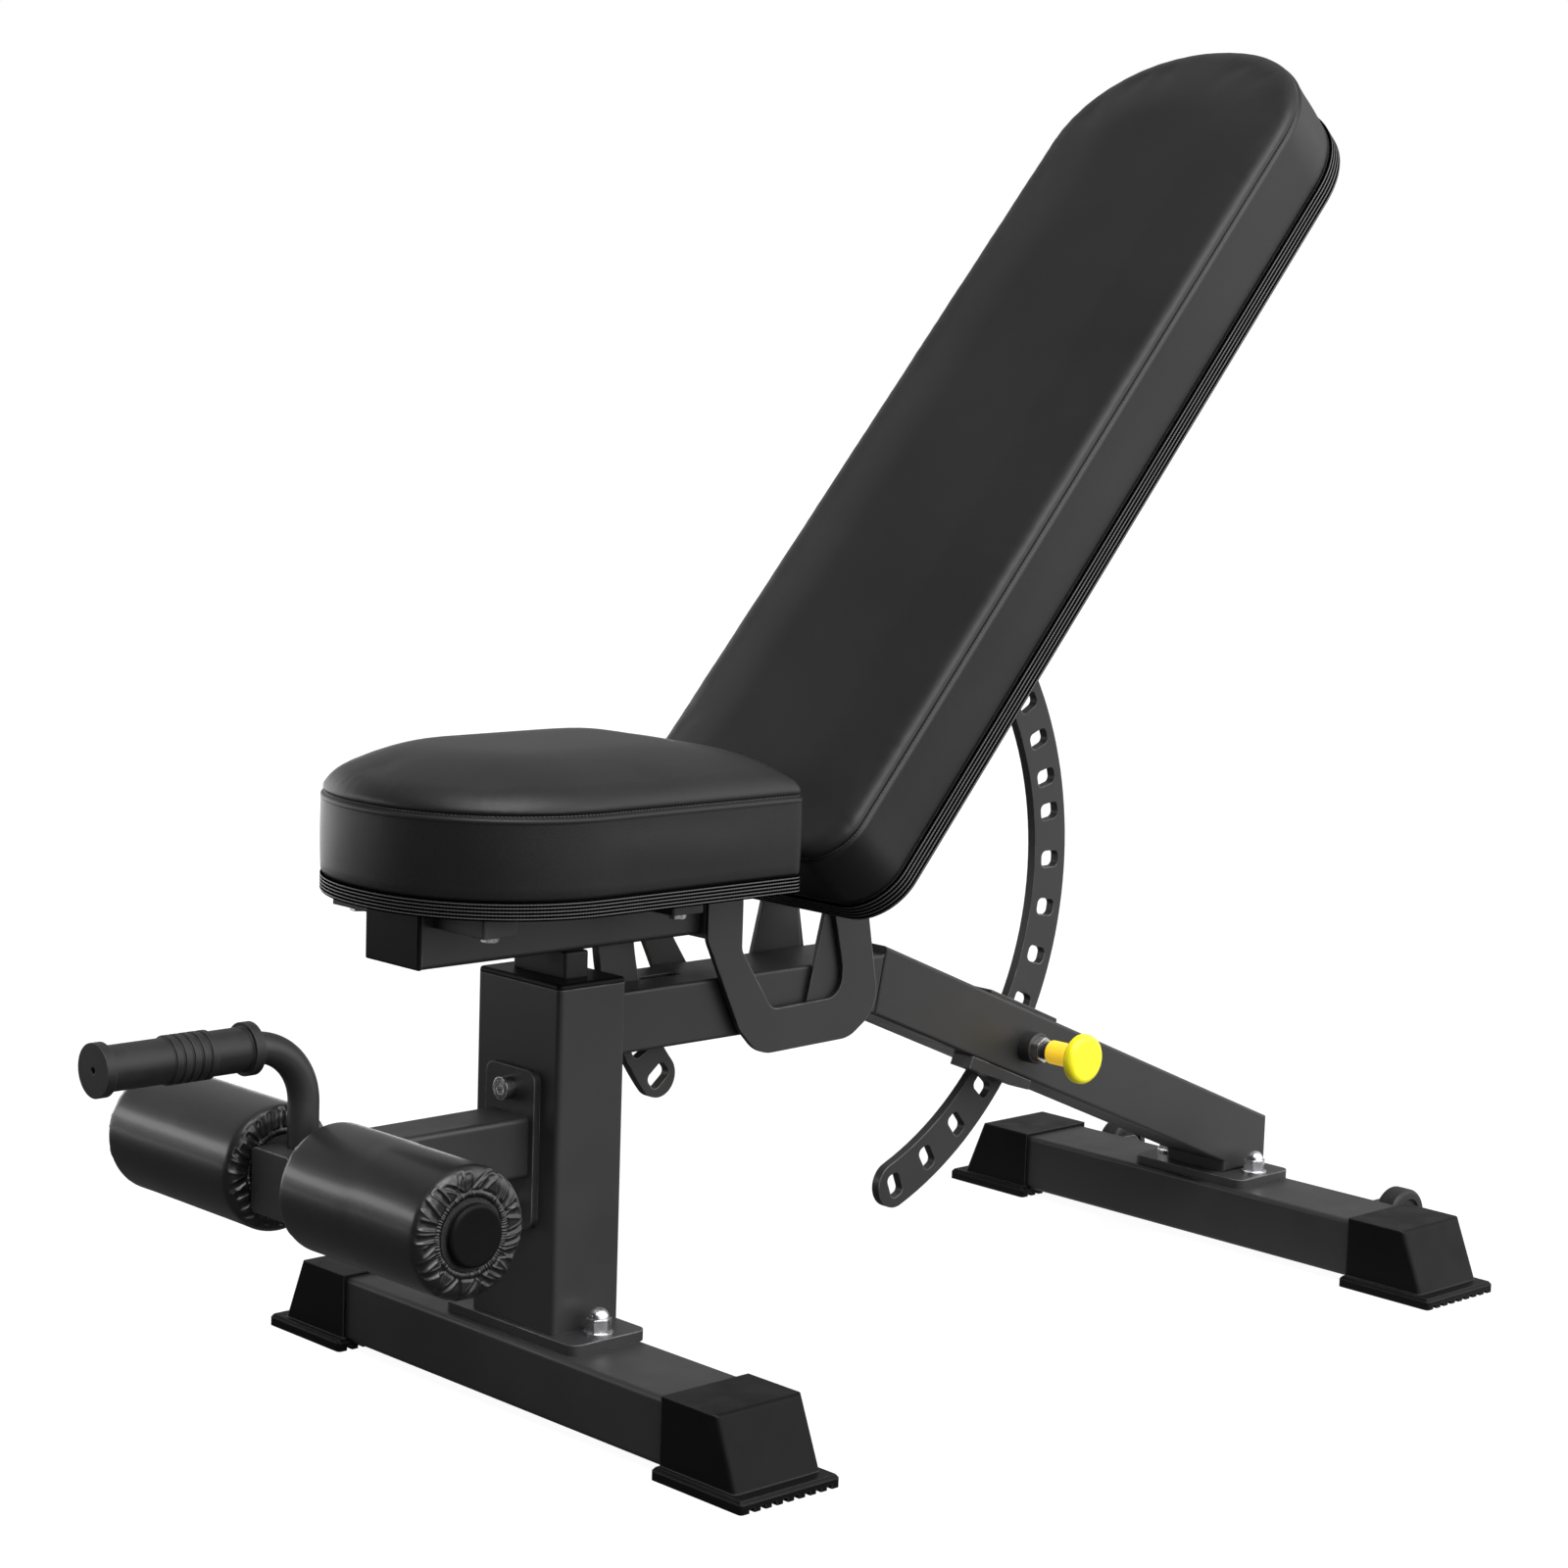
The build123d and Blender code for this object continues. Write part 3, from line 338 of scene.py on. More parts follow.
finishes = {
    "steel": powder_coat(),
    "zinc": zinc_plate(),
    "foot_plastic": moulded_plastic(),
    "rubber": rubber(),
    "pad_leather": leather("pad_leather", (0.009, 0.009, 0.0095), (0.015, 0.015, 0.0155), 0.38, 760.0, 0.06,
                           gloss=0.3),
    "band_leather": ribbed_band(),
    "roller_leather": leather("roller_leather", (0.008, 0.008, 0.0085), (0.013, 0.013, 0.0135), 0.34, 900.0,
                              0.03, 0.25),
    "foam": foam(),
    "knob_plastic": knob_yellow(),
}
hem_leather = leather("hem_leather", (0.012, 0.012, 0.012), (0.02, 0.02, 0.02), 0.5, 800.0, 0.08)
cloth_finish = dust_cloth()
thread_finish = thread()
wire_finish = staple_wire()


def dress_frame():
    """Gives every CAD node the finish of its own material slot."""
    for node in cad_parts.values():
        for place in node.material_slots:
            slot = place.material.name
            place.material = finishes[slot]


# ---------------------------------------------------------------- mesh helpers
def mesh_piece(name, points, faces, material, body, smooth=True):
    """A new object in the row frame that rides on a body."""
    mesh = bpy.data.meshes.new(name)
    mesh.from_pydata([tuple(p) for p in points], [], [tuple(f) for f in faces])
    mesh.polygons.foreach_set("use_smooth", [smooth] * len(mesh.polygons))
    mesh.materials.append(material)
    mesh.update()
    piece = bpy.data.objects.new(name, mesh)
    bpy.context.scene.collection.objects.link(piece)
    if body:
        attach(piece, body)
    return piece


def loop_faces(rings, count, first=0):
    """Quads between successive closed rings of the same count."""
    return [(first + r * count + i, first + r * count + (i + 1) % count,
             first + (r + 1) * count + (i + 1) % count, first + (r + 1) * count + i)
            for r in range(rings - 1) for i in range(count)]


def mirror_cap(start, count, flip):
    """Closes a ring whose point i mirrors point count - i, with strips from side to side."""
    faces = []
    for i in range(count // 2):
        strip = [start + i, start + i + 1, start + (count - i - 1) % count, start + (count - i) % count]
        strip = list(dict.fromkeys(strip))
        if len(strip) > 2:
            faces.append(strip[::-1] if flip else strip)
    return faces


def smoothstep(x, low, high):
    t = np.clip((x - low) / (high - low), 0.0, 1.0)
    return t * t * (3 - 2 * t)


def ripple(run, length, cycles, amplitude):
    """Seeded irregular wave that repeats after length."""
    total = np.zeros_like(run)
    for n in cycles:
        total += rng.normal() * np.sin(2 * math.pi * n * run / length + rng.uniform(0, 2 * math.pi))
    return amplitude * total / math.sqrt(len(cycles))


# ---------------------------------------------------------------- pads
class Pad:
    """A pad's frame and size, read from its CAD nodes: along runs to its round end, out is off its face."""

    def __init__(self, cushion, board, end_length, corner, round_towards):
        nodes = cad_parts
        largest = max(nodes[board].data.polygons, key=lambda p: p.area)
        out = largest.normal.copy()
        middles = [sum(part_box(n), Vector()) / 2 for n in (cushion, board)]
        self.out = out if (middles[0] - middles[1]).dot(out) > 0 else -out
        along = self.out.cross(Vector((1, 0, 0))).normalized()
        self.along = along if along.dot(Vector(round_towards)) > 0 else -along
        self.across = self.along.cross(self.out)
        self.end_length, self.corner = end_length, corner
        points = np.array([v.co for v in nodes[cushion].data.vertices]) / MM
        board_points = np.array([v.co for v in nodes[board].data.vertices]) / MM
        self.half = np.abs(points @ self.across).max()
        self.low, self.high = (points @ self.along).min(), (points @ self.along).max()
        self.base, self.top = (points @ self.out).min(), (points @ self.out).max()
        self.board_base = (board_points @ self.out).min()

    def place(self, flat, height):
        """Row-frame points in metres from (across, along) and a height along out, in millimetres."""
        return MM * (np.outer(flat[:, 0], self.across) + np.outer(flat[:, 1], self.along)
                     + np.outer(np.broadcast_to(height, len(flat)), self.out))

    def outline(self, inset, step=OUTLINE_STEP):
        """Closed loop inside the pad's edge, from the middle of its square end; point i mirrors point -i."""
        corner = min(max(self.corner - inset, 0.45 * inset, 0.4), 0.96 * (self.half - inset))
        end = max(self.end_length - inset, 1.0)
        half, low, high = self.half - inset, self.low + inset, self.high - inset
        straight = self.high - self.end_length - self.low - self.corner
        lengths = (self.half - self.corner, 1.6 * self.corner + 6, straight,
                   0.83 * (self.half + self.end_length))
        counts = [max(4, round(length / step)) for length in lengths]
        t = [np.linspace(0, 1, n, endpoint=False) for n in counts]
        bottom = np.column_stack([(half - corner) * t[0], low + 0 * t[0]])
        turn = t[1] * math.pi / 2
        bend = np.column_stack([half - corner + corner * np.sin(turn), low + corner - corner * np.cos(turn)])
        side = np.column_stack([half + 0 * t[2], low + corner + (high - end - low - corner) * t[2]])
        swing = np.append(t[3], 1.0) * math.pi / 2
        wide, deep = (np.clip(f(swing), 0.0, 1.0) ** END_FULLNESS for f in (np.cos, np.sin))
        top = np.column_stack([half * wide, high - end + end * deep])
        right = np.vstack([bottom, bend, side, top])
        left = right[-2:0:-1] * (-1, 1)
        return np.vstack([right, left])

    def runs(self, inset):
        """Distance round the outline of each of its points, and the whole way round."""
        loop = self.outline(inset)
        steps = np.linalg.norm(np.roll(loop, -1, axis=0) - loop, axis=1)
        return np.concatenate([[0.0], np.cumsum(steps)[:-1]]), steps.sum()

    def loft(self, profile, step=OUTLINE_STEP):
        """Points and faces of the closed form through (inset, height) rings, from underneath to the top."""
        rings = [self.place(self.outline(inset, step), height) for inset, height in profile]
        count = len(rings[0])
        faces = loop_faces(len(rings), count)
        faces += mirror_cap(0, count, True) + mirror_cap((len(rings) - 1) * count, count, False)
        return np.vstack(rings), faces


def cushion_profile(pad, seam):
    """(inset, height, share of the swelling) rings of a sewn pad, from underneath to the top."""
    wall_top = pad.top - seam
    rings = [(pad.half - CENTRE_GAP, pad.base, 0.0), (pad.half * 0.5, pad.base, 0.0)]
    rings += [(inset, pad.base + rise, share) for inset, rise, share in LOWER_ROLL]
    for share in np.linspace(0.12, 1.0, 9):
        bulge = math.sin(math.pi * share)
        rings.append((0.35 * (1 - share) - 0.5 * bulge, pad.base + 3.0 + share * (wall_top - pad.base - 4.0),
                      0.35 * bulge))
    for inset, rise in WELT:
        rings.append((inset, wall_top + rise, 0.0))
    for turn in np.linspace(0.12, math.pi / 2, 10):
        inset = WELT[-1][0] + ROLL_WIDTH * (1 - math.cos(turn))
        rings.append((inset, wall_top + WELT[-1][1] + (seam - WELT[-1][1]) * math.sin(turn), 0.02 * inset))
    start = WELT[-1][0] + ROLL_WIDTH
    for inset in np.append(np.arange(start + 4.0, pad.half - 3.0, 5.0), pad.half - CENTRE_GAP):
        rings.append((inset, pad.top, 0.3 + 0.7 * smoothstep(inset, start, 0.6 * pad.half)))
    return rings


def swelling(pad, cap):
    """How a plain pad of this shape swells: rest points and their moves in metres."""
    middle = pad.half - CENTRE_GAP
    inner = [(middle, pad.base), (8, pad.base), (2, pad.base), (2, pad.top - 10), (5, pad.top - 4),
             (12, pad.top - 2), (middle, pad.top - 2)]
    points, faces = pad.loft(inner, SIM_STEP)
    form = mesh_piece("swell_form", points, faces, thread_finish, None)
    remesh = form.modifiers.new("voxels", "REMESH")
    remesh.mode, remesh.voxel_size = "VOXEL", SIM_VOXEL * MM
    solid = bpy.data.meshes.new_from_object(form.evaluated_get(bpy.context.evaluated_depsgraph_get()))
    form.modifiers.clear()
    form.data = solid
    rest = np.array([v.co for v in solid.vertices])
    held = form.vertex_groups.new(name="held")
    under = np.nonzero(rest @ np.array(pad.out) / MM < pad.base + 9.0)[0]
    held.add([int(i) for i in under], 1.0, "REPLACE")
    cloth = form.modifiers.new("swell", "CLOTH")
    cloth.settings.quality = 5
    cloth.settings.mass = 0.4
    cloth.settings.tension_stiffness = cloth.settings.compression_stiffness = 40.0
    cloth.settings.bending_stiffness = 6.0
    cloth.settings.vertex_group_mass = "held"
    cloth.settings.use_pressure = True
    cloth.settings.uniform_pressure_force = 4.0
    cloth.settings.effector_weights.gravity = 0.0
    cloth.point_cache.frame_start, cloth.point_cache.frame_end = 1, SIM_FRAMES
    for number in range(1, SIM_FRAMES + 1):
        bpy.context.scene.frame_set(number)
    swollen = form.evaluated_get(bpy.context.evaluated_depsgraph_get())
    moved = np.array([v.co for v in swollen.data.vertices]) - rest
    bpy.context.scene.frame_set(1)
    bpy.data.objects.remove(form)
    size = np.linalg.norm(moved, axis=1, keepdims=True) + 1e-12
    moved *= cap * MM * np.tanh(size / (cap * MM)) / size
    return rest, moved


def sampled(points, field, neighbours=8):
    """The swelling field at points, as a distance-weighted mean of its nearest samples."""
    rest, moved = field
    tree = kdtree.KDTree(len(rest))
    for i, p in enumerate(rest):
        tree.insert(p, i)
    tree.balance()
    found = np.zeros((len(points), 3))
    for row, p in enumerate(points):
        near = tree.find_n(p, neighbours)
        weights = np.array([1.0 / (d + 0.002) ** 2 for _, _, d in near])
        found[row] = weights @ moved[[i for _, i, _ in near]] / weights.sum()
    return found


def cushion(pad, name, body, cad_node, seam, crown, swell):
    """The sewn pad: its stuffing's crown, the swelling of its cover and the puckers along its seam."""
    profile = cushion_profile(pad, seam)
    points, faces = pad.loft([ring[:2] for ring in profile])
    count = len(points) // len(profile)
    inset, height, share = (np.repeat([ring[k] for ring in profile], count) for k in range(3))
    out = np.array(pad.out)
    side = (points @ np.array(pad.across)) / (MM * pad.half)
    ahead = (points @ np.array(pad.along)) / MM
    nose = np.clip((ahead - pad.high + pad.end_length) / pad.end_length, 0.0, 1.0)
    dome = np.clip(1 - np.hypot(side, nose) ** CROWN_POWER, 0.0, 1.0)
    dome *= 1 - np.exp((pad.low - ahead) / SQUARE_END_RISE)
    above_gutter = height > pad.top - seam + WELT[-1][1]
    rise = crown * MM * dome * above_gutter
    field = swelling(pad, swell)
    if field:
        moves = sampled(points, field)
        lift = np.clip(moves @ out, 0.0, None)
        flat = moves - np.outer(moves @ out, out)
        wall = smoothstep(pad.top - height, 2.0, 14.0)
        share = share * smoothstep(ahead - pad.low, SQUARE_END_RISE, 8 * SQUARE_END_RISE)
        points += flat * (0.6 * share * wall)[:, None]
        rise += share * lift * (1 - wall)
    run, total = pad.runs(0.0)
    pucker = ripple(run, total, rng.integers(60, 150, 14), FINE_PUCKER)
    pucker += ripple(run, total, rng.integers(12, 40, 8), BROAD_PUCKER)
    near = np.exp(-((inset - PUCKER_PLACE) / PUCKER_SPREAD) ** 2) * above_gutter
    rise += np.tile(pucker, len(profile)) * near * MM
    points += np.outer(rise, out)
    piece = mesh_piece(name, points, faces, finishes["pad_leather"], body)
    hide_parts(cad_node)
    return piece


def walk(loop):
    """The length of a closed loop, and a function for the point at a distance along it."""
    line = np.vstack([loop, loop[:1]])
    runs = np.concatenate([[0.0], np.cumsum(np.linalg.norm(np.diff(line, axis=0), axis=1))])

    def point(at):
        return np.array([np.interp(at, runs, line[:, k]) for k in (0, 1)])

    return runs[-1], point


def heading(towards, middle):
    """Unit vector from middle to a point."""
    ahead = towards - middle
    return ahead / np.linalg.norm(ahead)


def wire_faces(rings, first):
    """Faces of one short piece of thread or wire, closed at both ends."""
    last = first + (rings - 1) * WIRE_SIDES
    ends = [tuple(range(first, first + WIRE_SIDES))[::-1], tuple(range(last, last + WIRE_SIDES))]
    return loop_faces(rings, WIRE_SIDES, first) + ends


def stitches(pad, name, body, seam):
    """The row of stitches that closes the gutter below the top panel."""
    total, point = walk(pad.outline(STITCH_INSET, 1.5))
    lengths = np.array([-0.5, -0.32, 0.0, 0.32, 0.5]) * STITCH_LENGTH
    radii = np.array([0.35, 0.85, 1.0, 0.85, 0.35]) * STITCH_RADIUS
    angles = np.arange(WIRE_SIDES) * 2 * math.pi / WIRE_SIDES
    points, faces = [], []
    for at in np.arange(0.0, total - STITCH_PITCH * 0.6, STITCH_PITCH):
        middle = point(at)
        ahead = heading(point(at + 1.0), middle)
        side = np.array([ahead[1], -ahead[0]])
        tilt = rng.normal(0.0, 0.06)
        faces += wire_faces(len(radii), len(points) * WIRE_SIDES)
        for shift, radius in zip(lengths, radii):
            flat = middle + ahead * shift + np.outer(np.cos(angles) * radius + 0.1 + tilt * shift, side)
            points.append(pad.place(flat, pad.top - seam + STITCH_RISE + np.sin(angles) * radius))
    return mesh_piece(name, np.vstack(points), faces, thread_finish, body)


def edge_band(pad, name, body, cad_node, outside):
    """The board, wrapped: a ribbed band round its edge and the cover's hem folded under it."""
    bottom, top = pad.board_base, pad.base
    board, middle = bottom + HEM_THICKNESS, pad.half - CENTRE_GAP
    rib = (top - board) / BAND_RIBS
    rib_turns = math.pi * (np.arange(RIB_POINTS) + 0.5) / RIB_POINTS
    profile = [(middle, board), (HEM + 4, board), (HEM + 0.4, board), (HEM, bottom + 0.25),
               (HEM - 0.8, bottom), (6.0, bottom), (2.0, bottom), (0.8, bottom + 0.2)]
    first_rib = len(profile)
    for r in range(BAND_RIBS):
        for turn in rib_turns:
            profile.append((RIB_DEPTH * (1.0 - math.sin(turn) ** 0.7) - outside,
                            bottom + 0.6 + rib * (r + 0.5 - 0.5 * math.cos(turn))))
    last_rib = len(profile)
    profile += [(2.2 - outside, top - 0.25), (4.0, top - 0.05), (pad.half * 0.5, top - 0.05),
                (middle, top - 0.05)]
    points, faces = pad.loft(profile)
    piece = mesh_piece(name, points, faces, finishes["band_leather"], body)
    piece.data.materials.append(hem_leather)
    count = len(points) // len(profile)
    run, total = pad.runs(0.0)
    crest = np.zeros(len(profile))
    crest[first_rib:last_rib] = np.tile(np.sin(rib_turns), BAND_RIBS)
    layer = piece.data.uv_layers.new(name="band")
    for polygon in piece.data.polygons:
        ring = min(polygon.vertices) // count
        polygon.material_index = 0 if first_rib - 1 <= ring < last_rib else 1
        turns = [v % count for v in polygon.vertices]
        wraps = max(turns) - min(turns) > count // 2
        for corner, v in zip(polygon.loop_indices, polygon.vertices):
            along = run[v % count] + (total if wraps and v % count == 0 else 0.0)
            layer.data[corner].uv = (along, crest[v // count])
    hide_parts(cad_node)
    return piece


def dust_panel(pad, name, body):
    """The cloth over the board's underside, tucked in a little at each staple."""
    bottom = pad.board_base
    rows = [(HEM + 10, bottom + 0.7), (HEM - 6.4, bottom - 0.1), (HEM - 7.2, bottom - 0.35),
            (HEM - 7.0, bottom - 0.7), (HEM - 5.0, bottom - 0.75), (HEM + 1.0, bottom - 0.7),
            (HEM + 6.0, bottom + 0.35), (HEM + 14.0, bottom + 0.55), (pad.half * 0.55, bottom + 0.6),
            (pad.half - CENTRE_GAP, bottom + 0.6)]
    rings = [pad.place(pad.outline(inset), height) for inset, height in rows[::-1]]
    count = len(rings[0])
    run, total = pad.runs(HEM)
    tuck = 0.22 * np.cos(2 * math.pi * run / STAPLE_PITCH) + ripple(run, total, rng.integers(20, 60, 8), 0.12)
    for index, weight in ((2, 0.5), (3, 0.9), (4, 1.0), (5, 1.0)):
        rings[index] += np.outer(-tuck * weight * MM, np.array(pad.out))
    faces = loop_faces(len(rings), count)
    faces += mirror_cap(0, count, True) + mirror_cap((len(rings) - 1) * count, count, False)
    return mesh_piece(name, np.vstack(rings), faces, cloth_finish, body)


def staples(pad, name, body):
    """Wire staples that hold the dust cloth and the hem."""
    total, point = walk(pad.outline(HEM - 3.0, 2.0))
    angles = np.arange(WIRE_SIDES) * 2 * math.pi / WIRE_SIDES
    leg = [(-STAPLE_CROWN / 2, STAPLE_DROP, 1.0), (-STAPLE_CROWN / 2, 0.3, 1.0),
           (-STAPLE_CROWN / 2 + 0.6, -0.35, 0.5)]       # shift, rise, how far the section is turned upright
    path = [(*ring, -1.0) for ring in leg] + [(-shift, rise, lean, 1.0) for shift, rise, lean in leg[::-1]]
    points, faces = [], []
    for at in np.arange(STAPLE_PITCH / 2, total - 8.0, STAPLE_PITCH):
        middle = point(at) + rng.normal(0, 0.5, 2)
        ahead = heading(point(at + 1.0), middle)
        skew = rng.normal(0.0, 0.12)
        ahead = np.array([ahead[0] - skew * ahead[1], ahead[1] + skew * ahead[0]])
        side = np.array([ahead[1], -ahead[0]])
        faces += wire_faces(len(path), len(points) * WIRE_SIDES)
        for shift, rise, lean, turn in path:
            cross = np.outer(np.cos(angles) * STAPLE_RADIUS, side)
            upright = np.outer(np.sin(angles) * STAPLE_RADIUS * lean * turn, ahead)
            height = pad.board_base - 0.6 + rise - np.sin(angles) * STAPLE_RADIUS * (1 - lean) * 2
            points.append(pad.place(middle + ahead * shift + cross + upright, height))
    return mesh_piece(name, np.vstack(points), faces, wire_finish, body)


# ---------------------------------------------------------------- rollers
def pleats(angle, reach):
    """Relief of the gathered leather in millimetres: dimples with raised rims, and crinkles inside them."""
    relief = np.zeros((len(reach), len(angle)))
    pitch = 2 * math.pi / PLEATS
    for k in range(PLEATS):
        centre = (k + rng.uniform(-0.22, 0.22)) * pitch
        width = pitch * rng.uniform(0.24, 0.40)
        start = rng.uniform(3.0, 9.5)
        depth = rng.uniform(0.9, 1.5)
        lean = rng.normal(0.0, 0.012)
        off = np.angle(np.exp(1j * (angle[None, :] - centre - lean * (reach[:, None] - 12.0))))
        inside = smoothstep(reach, start, start + 2.6) * (1 - smoothstep(reach, 19.5, 21.5))
        dish = np.exp(-np.abs(off / width) ** 3)
        rim = np.exp(-((np.abs(off) - width * 1.05) / (0.28 * width)) ** 2)
        lip = np.exp(-((reach - start) / 1.1) ** 2)[:, None] * np.exp(-np.abs(off / width) ** 4)
        relief += inside[:, None] * (-depth * dish + 0.75 * rim) + 0.45 * lip
    inner = smoothstep(reach, 20.5, 22.0) * (1 - smoothstep(reach, 26.0, 27.5))
    fine = np.zeros_like(angle)
    for n in rng.integers(34, 80, 9):
        fine += rng.normal() * np.sin(n * angle + rng.uniform(0, 2 * math.pi))
    relief += inner[:, None] * 0.55 * (1.0 - 2.0 * np.abs(np.sin(fine * 0.8)))[None, :]
    return np.clip(relief, DEEPEST_PLEAT, HIGHEST_PLEAT)


def roller_cover(node, body, name):
    """A gathered leather cover over a foam roller, open at its bore."""
    low, high = (np.array(c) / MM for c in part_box(node))
    radius, half_length = (high[2] - low[2]) / 2, (high[0] - low[0]) / 2
    centre = (low + high) / 2
    face = radius - ROLLER_SHOULDER
    end = list(ROLLER_BORE)
    end += [(0.0, r) for r in np.linspace(ROLLER_FACE_START, face, 8)[:-1]]
    for turn in np.linspace(0, math.pi / 2, 15):
        end.append((ROLLER_SHOULDER * (1 - math.cos(turn)), face + ROLLER_SHOULDER * math.sin(turn)))
    straight = [(a, radius) for a in np.linspace(ROLLER_SHOULDER, half_length, 12)[1:]]
    half = np.array(end + straight)
    along = np.concatenate([[0.0], np.cumsum(np.linalg.norm(np.diff(half, axis=0), axis=1))])
    reach = along[len(end) - 1] - along
    angle = np.arange(ROLLER_SEGMENTS) * 2 * math.pi / ROLLER_SEGMENTS
    slope = np.gradient(half, axis=0)
    slope /= np.linalg.norm(slope, axis=1, keepdims=True)
    normal = np.column_stack([-slope[:, 1], slope[:, 0]])
    rings = []
    for side in (1, -1):
        relief = pleats(angle, reach)
        sag = 0.25 * np.sin(angle * 3 + rng.uniform(0, 6))[None, :] * smoothstep(-reach, -4.0, 20.0)[:, None]
        relief += sag
        axial = half_length - half[:, :1] - relief * normal[:, :1]
        radial = half[:, 1:] + relief * normal[:, 1:]
        ring = np.stack([centre[0] + side * axial, centre[1] + radial * np.cos(angle),
                         centre[2] + radial * np.sin(angle)], axis=2)
        rings += list(ring) if side == 1 else list(ring[::-1][1:])
    count = ROLLER_SEGMENTS
    faces = loop_faces(len(rings), count)
    last = (len(rings) - 1) * count
    faces += [(last + i, last + (i + 1) % count, (i + 1) % count, i) for i in range(count)]
    piece = mesh_piece(name, np.vstack(rings) * MM, faces, finishes["roller_leather"], body)
    shape = bmesh.new()
    shape.from_mesh(piece.data)
    bmesh.ops.recalc_face_normals(shape, faces=shape.faces)
    shape.to_mesh(piece.data)
    shape.free()
    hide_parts(node)
    return piece


# ---------------------------------------------------------------- studio
WORLD_LIGHT = (                 # towards, cosine where it starts, cosine where it is full, strength
    ((0.0, 0.0, 1.0), -2.0, -1.9, 0.05),        # everywhere
    ((0.9, 0.45, 0.05), 0.1, 0.95, 1.9),        # the bright wall on the right
    ((0.0, 0.1, 1.0), 0.3, 1.0, 0.36),          # the ceiling
    ((0.35, -0.25, 0.9), 0.88, 0.98, 6.5),      # a panel overhead, for the pads' rolled edges
    ((-1.0, -0.05, 0.0), 0.86, 1.0, 2.2),       # a tall panel on the left
    ((-0.7, 0.7, 0.15), 0.4, 1.0, 0.32),        # behind
)


def studio():
    """A world that is white to the camera and lit by WORLD_LIGHT's lobes for everything else."""
    world = bpy.data.worlds.new("studio")
    bpy.context.scene.world = world
    world.use_nodes = True
    tree = world.node_tree
    tree.nodes.clear()

    def node(kind, **settings):
        made = tree.nodes.new(kind)
        for key, value in settings.items():
            setattr(made, key, value)
        return made

    direction = node("ShaderNodeTexCoord").outputs["Generated"]

    def lobe(towards, low, high, strength):
        """Light from round one direction: none below the low cosine, full above the high one."""
        dot = node("ShaderNodeVectorMath", operation="DOT_PRODUCT")
        tree.links.new(direction, dot.inputs[0])
        dot.inputs[1].default_value = Vector(towards).normalized()
        span = node("ShaderNodeMapRange", interpolation_type="SMOOTHSTEP")
        tree.links.new(dot.outputs["Value"], span.inputs["Value"])
        span.inputs["From Min"].default_value = low
        span.inputs["From Max"].default_value = high
        span.inputs["To Max"].default_value = strength
        return span.outputs["Result"]

    total = None
    for lamp in WORLD_LIGHT:
        value = lobe(*lamp)
        if total is not None:
            add = node("ShaderNodeMath", operation="ADD")
            tree.links.new(total, add.inputs[0])
            tree.links.new(value, add.inputs[1])
            value = add.outputs[0]
        total = value
    soft = node("ShaderNodeBackground")
    tree.links.new(total, soft.inputs["Strength"])
    white = node("ShaderNodeBackground")
    pick = node("ShaderNodeMixShader")
    tree.links.new(node("ShaderNodeLightPath").outputs["Is Camera Ray"], pick.inputs[0])
    tree.links.new(soft.outputs[0], pick.inputs[1])
    tree.links.new(white.outputs[0], pick.inputs[2])
    tree.links.new(pick.outputs[0], node("ShaderNodeOutputWorld").inputs[0])
    white.inputs["Strength"].default_value = 1.0
    for shade in (soft, white):
        shade.inputs["Color"].default_value = (1.0, 1.0, 1.0, 1.0)


def floor():
    """Floor: white with a faint contact shadow to the camera, a graded bounce card for everything else."""
    s = Shader("floor")
    s.tree.nodes.remove(s.surface)
    x, y, _ = s.split(s.place)
    back = s.ramp(y, 0.25, 0.65, 0.1, 0.62)
    left = s.math("MULTIPLY", s.ramp(x, -1.75, -2.4, 0.0, 2.0), s.ramp(y, -5.0, -2.6))
    bounce = s.node("ShaderNodeEmission", Strength=s.math("ADD", back, left))
    shadow_catcher = s.node("ShaderNodeBsdfDiffuse", Color=(0.9, 0.9, 0.9, 1.0))
    glow = s.node("ShaderNodeEmission", Strength=1.1)
    seen = s.node("ShaderNodeMixShader", Fac=0.87)
    s.feed(seen.inputs[1], shadow_catcher.outputs[0])
    s.feed(seen.inputs[2], glow.outputs[0])
    pick = s.node("ShaderNodeMixShader", Fac=s.node("ShaderNodeLightPath").outputs["Is Camera Ray"])
    s.feed(pick.inputs[1], bounce.outputs[0])
    s.feed(pick.inputs[2], seen.outputs[0])
    s.feed(s.tree.nodes["Material Output"].inputs["Surface"], pick.outputs[0])
    size = 30.0
    corners = [(-size, -size, 0), (size, -size, 0), (size, size, 0), (-size, size, 0)]
    plane = mesh_piece("floor", corners, [(0, 1, 2, 3)], s.material, None)


def soft_box(name, location, target, width, height, power):
    """A rectangular soft light aimed at a point, hidden from the camera."""
    lamp = bpy.data.lights.new(name, "AREA")
    lamp.shape, lamp.size, lamp.size_y, lamp.energy = "RECTANGLE", width, height, power
    box = bpy.data.objects.new(name, lamp)
    bpy.context.scene.collection.objects.link(box)
    box.location = location
    box.rotation_euler = (Vector(target) - Vector(location)).to_track_quat("-Z", "Y").to_euler()
    box.visible_camera = False
    return box


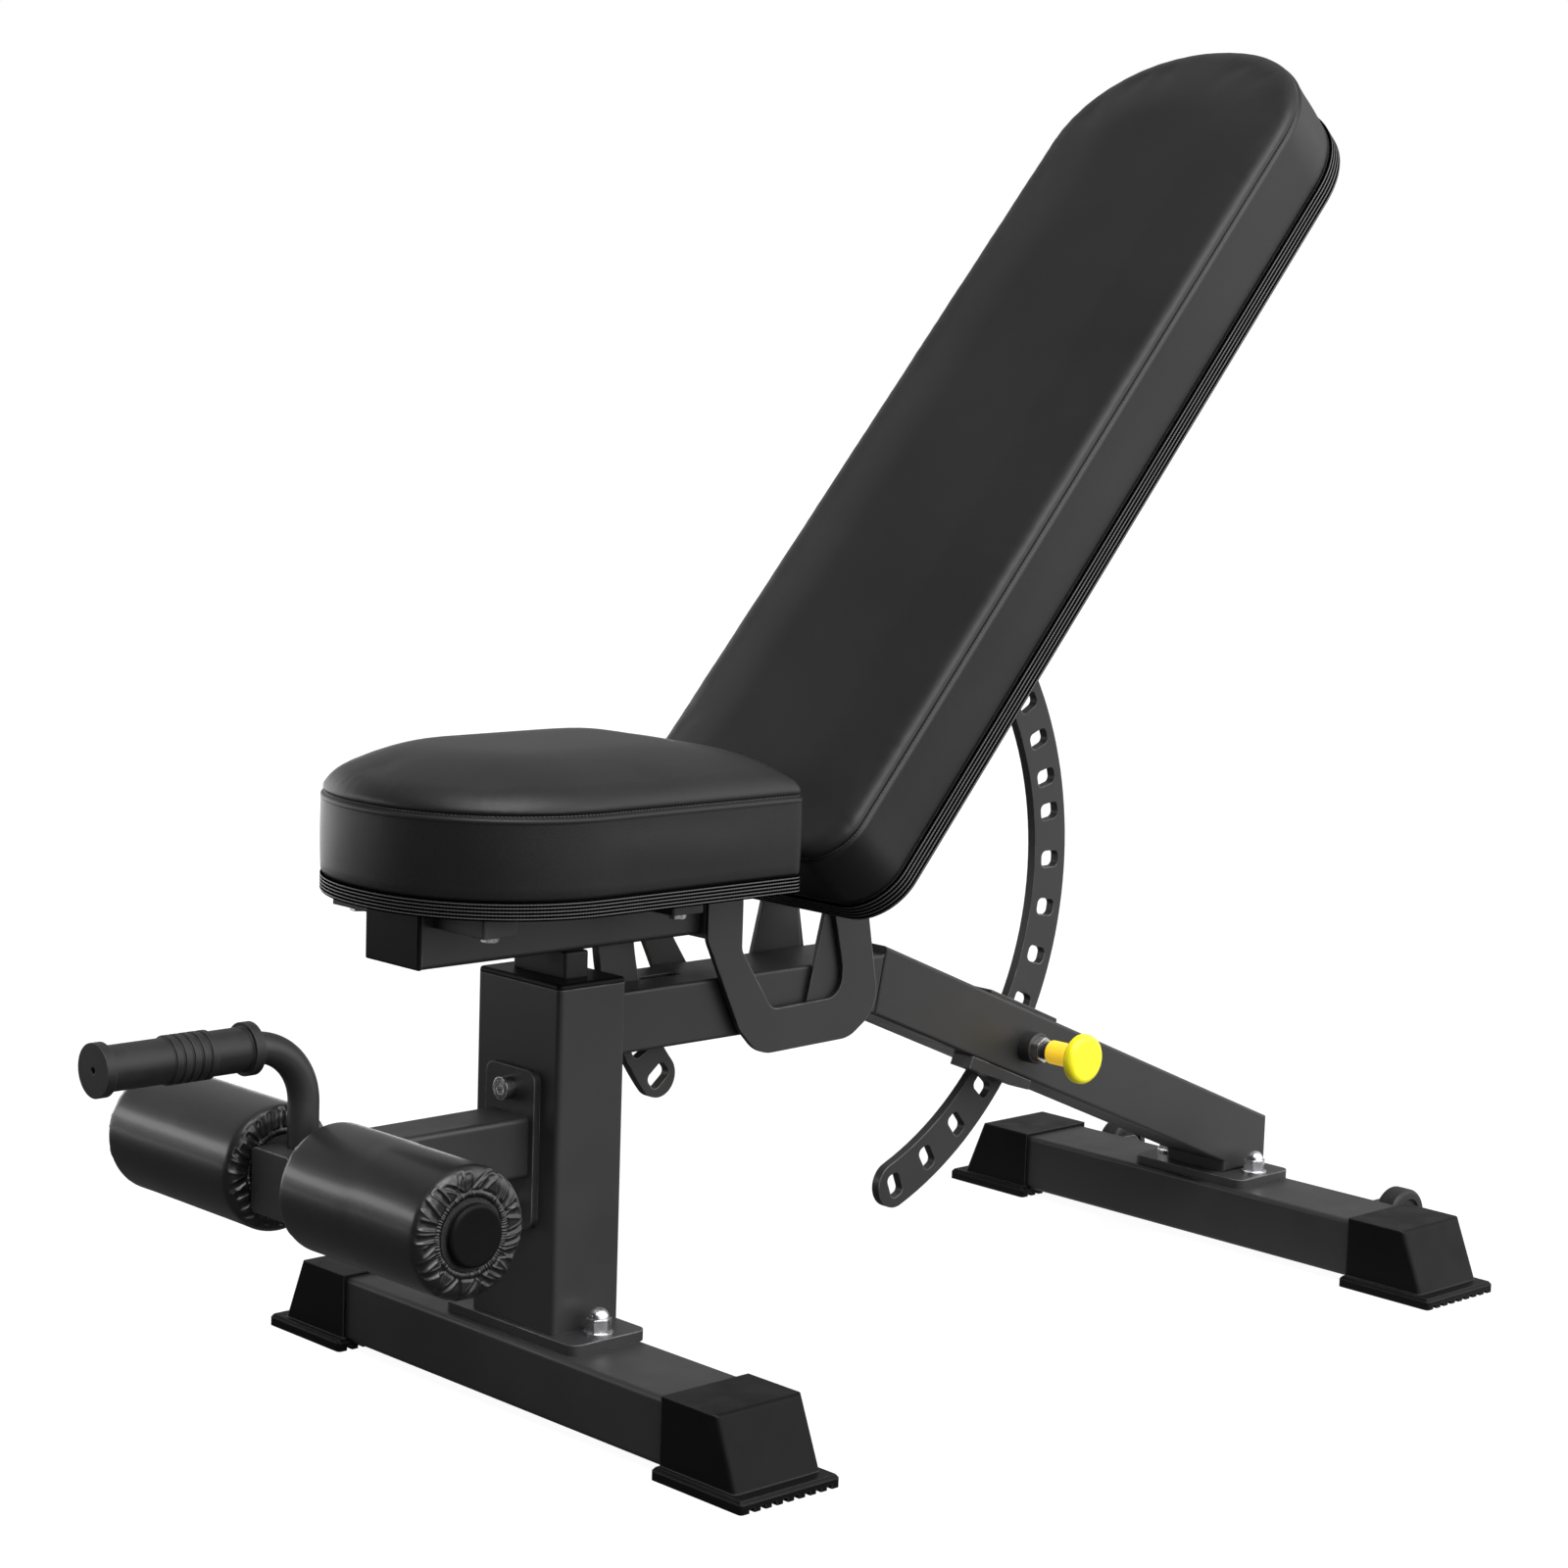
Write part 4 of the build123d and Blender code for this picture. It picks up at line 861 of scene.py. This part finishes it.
def camera():
    """The viewing angle: from the front right, slightly above, with a trace of roll."""
    azimuth, elevation, roll = (math.radians(a) for a in (CAMERA_AZIMUTH, CAMERA_ELEVATION, CAMERA_ROLL))
    back = Vector((math.sin(azimuth) * math.cos(elevation), -math.cos(azimuth) * math.cos(elevation),
                   math.sin(elevation)))
    right = Vector((math.cos(azimuth), math.sin(azimuth), 0.0))
    up = back.cross(right)
    turned = math.cos(roll) * right + math.sin(roll) * up
    upright = math.cos(roll) * up - math.sin(roll) * right
    lens = bpy.data.cameras.new("camera")
    lens.sensor_width, lens.lens = CAMERA_SENSOR, CAMERA_LENS
    view = bpy.data.objects.new("camera", lens)
    bpy.context.scene.collection.objects.link(view)
    turn = Matrix((turned, upright, back)).transposed().to_4x4()
    view.matrix_world = Matrix.Translation(CAMERA_PLACE) @ turn
    bpy.context.scene.camera = view


# ---------------------------------------------------------------- assembly
dress_frame()

pads = (("backrest", BACK_END, BACK_CORNER, (0, 0, 1), BACK_SEAM, BACK_CROWN, BACK_SWELL, BACK_BAND),
        ("seat", SEAT_END, SEAT_CORNER, (0, -1, 0), SEAT_SEAM, SEAT_CROWN, SEAT_SWELL, SEAT_BAND))
for body, end_length, corner, round_towards, seam, crown, swell, band in pads:
    pad = Pad(f"{body}_pad", f"{body}_board", end_length, corner, round_towards)
    cushion(pad, f"{body}_cushion", body, f"{body}_pad", seam, crown, swell)
    stitches(pad, f"{body}_stitching", body, seam)
    edge_band(pad, f"{body}_edge_band", body, f"{body}_board", band)
    dust_panel(pad, f"{body}_dust_cloth", body)
    staples(pad, f"{body}_staples", body)

for hand in ("right", "left"):
    roller_cover(f"roller_cover_{hand}", f"roller_{hand}", f"roller_leather_{hand}")

studio()
floor()
middle = (cad_box[0] + cad_box[1]) / 2
soft_box("key", (2.6, 0.9, 1.9), middle, width=1.6, height=1.6, power=12.0)
sheen = soft_box("sheen", (-2.2, -2.4, 0.95), (0.0, -0.45, 0.2), width=1.6, height=0.5, power=11.0)
sheen.visible_diffuse = False
camera()
bpy.context.scene.view_settings.view_transform = "Standard"
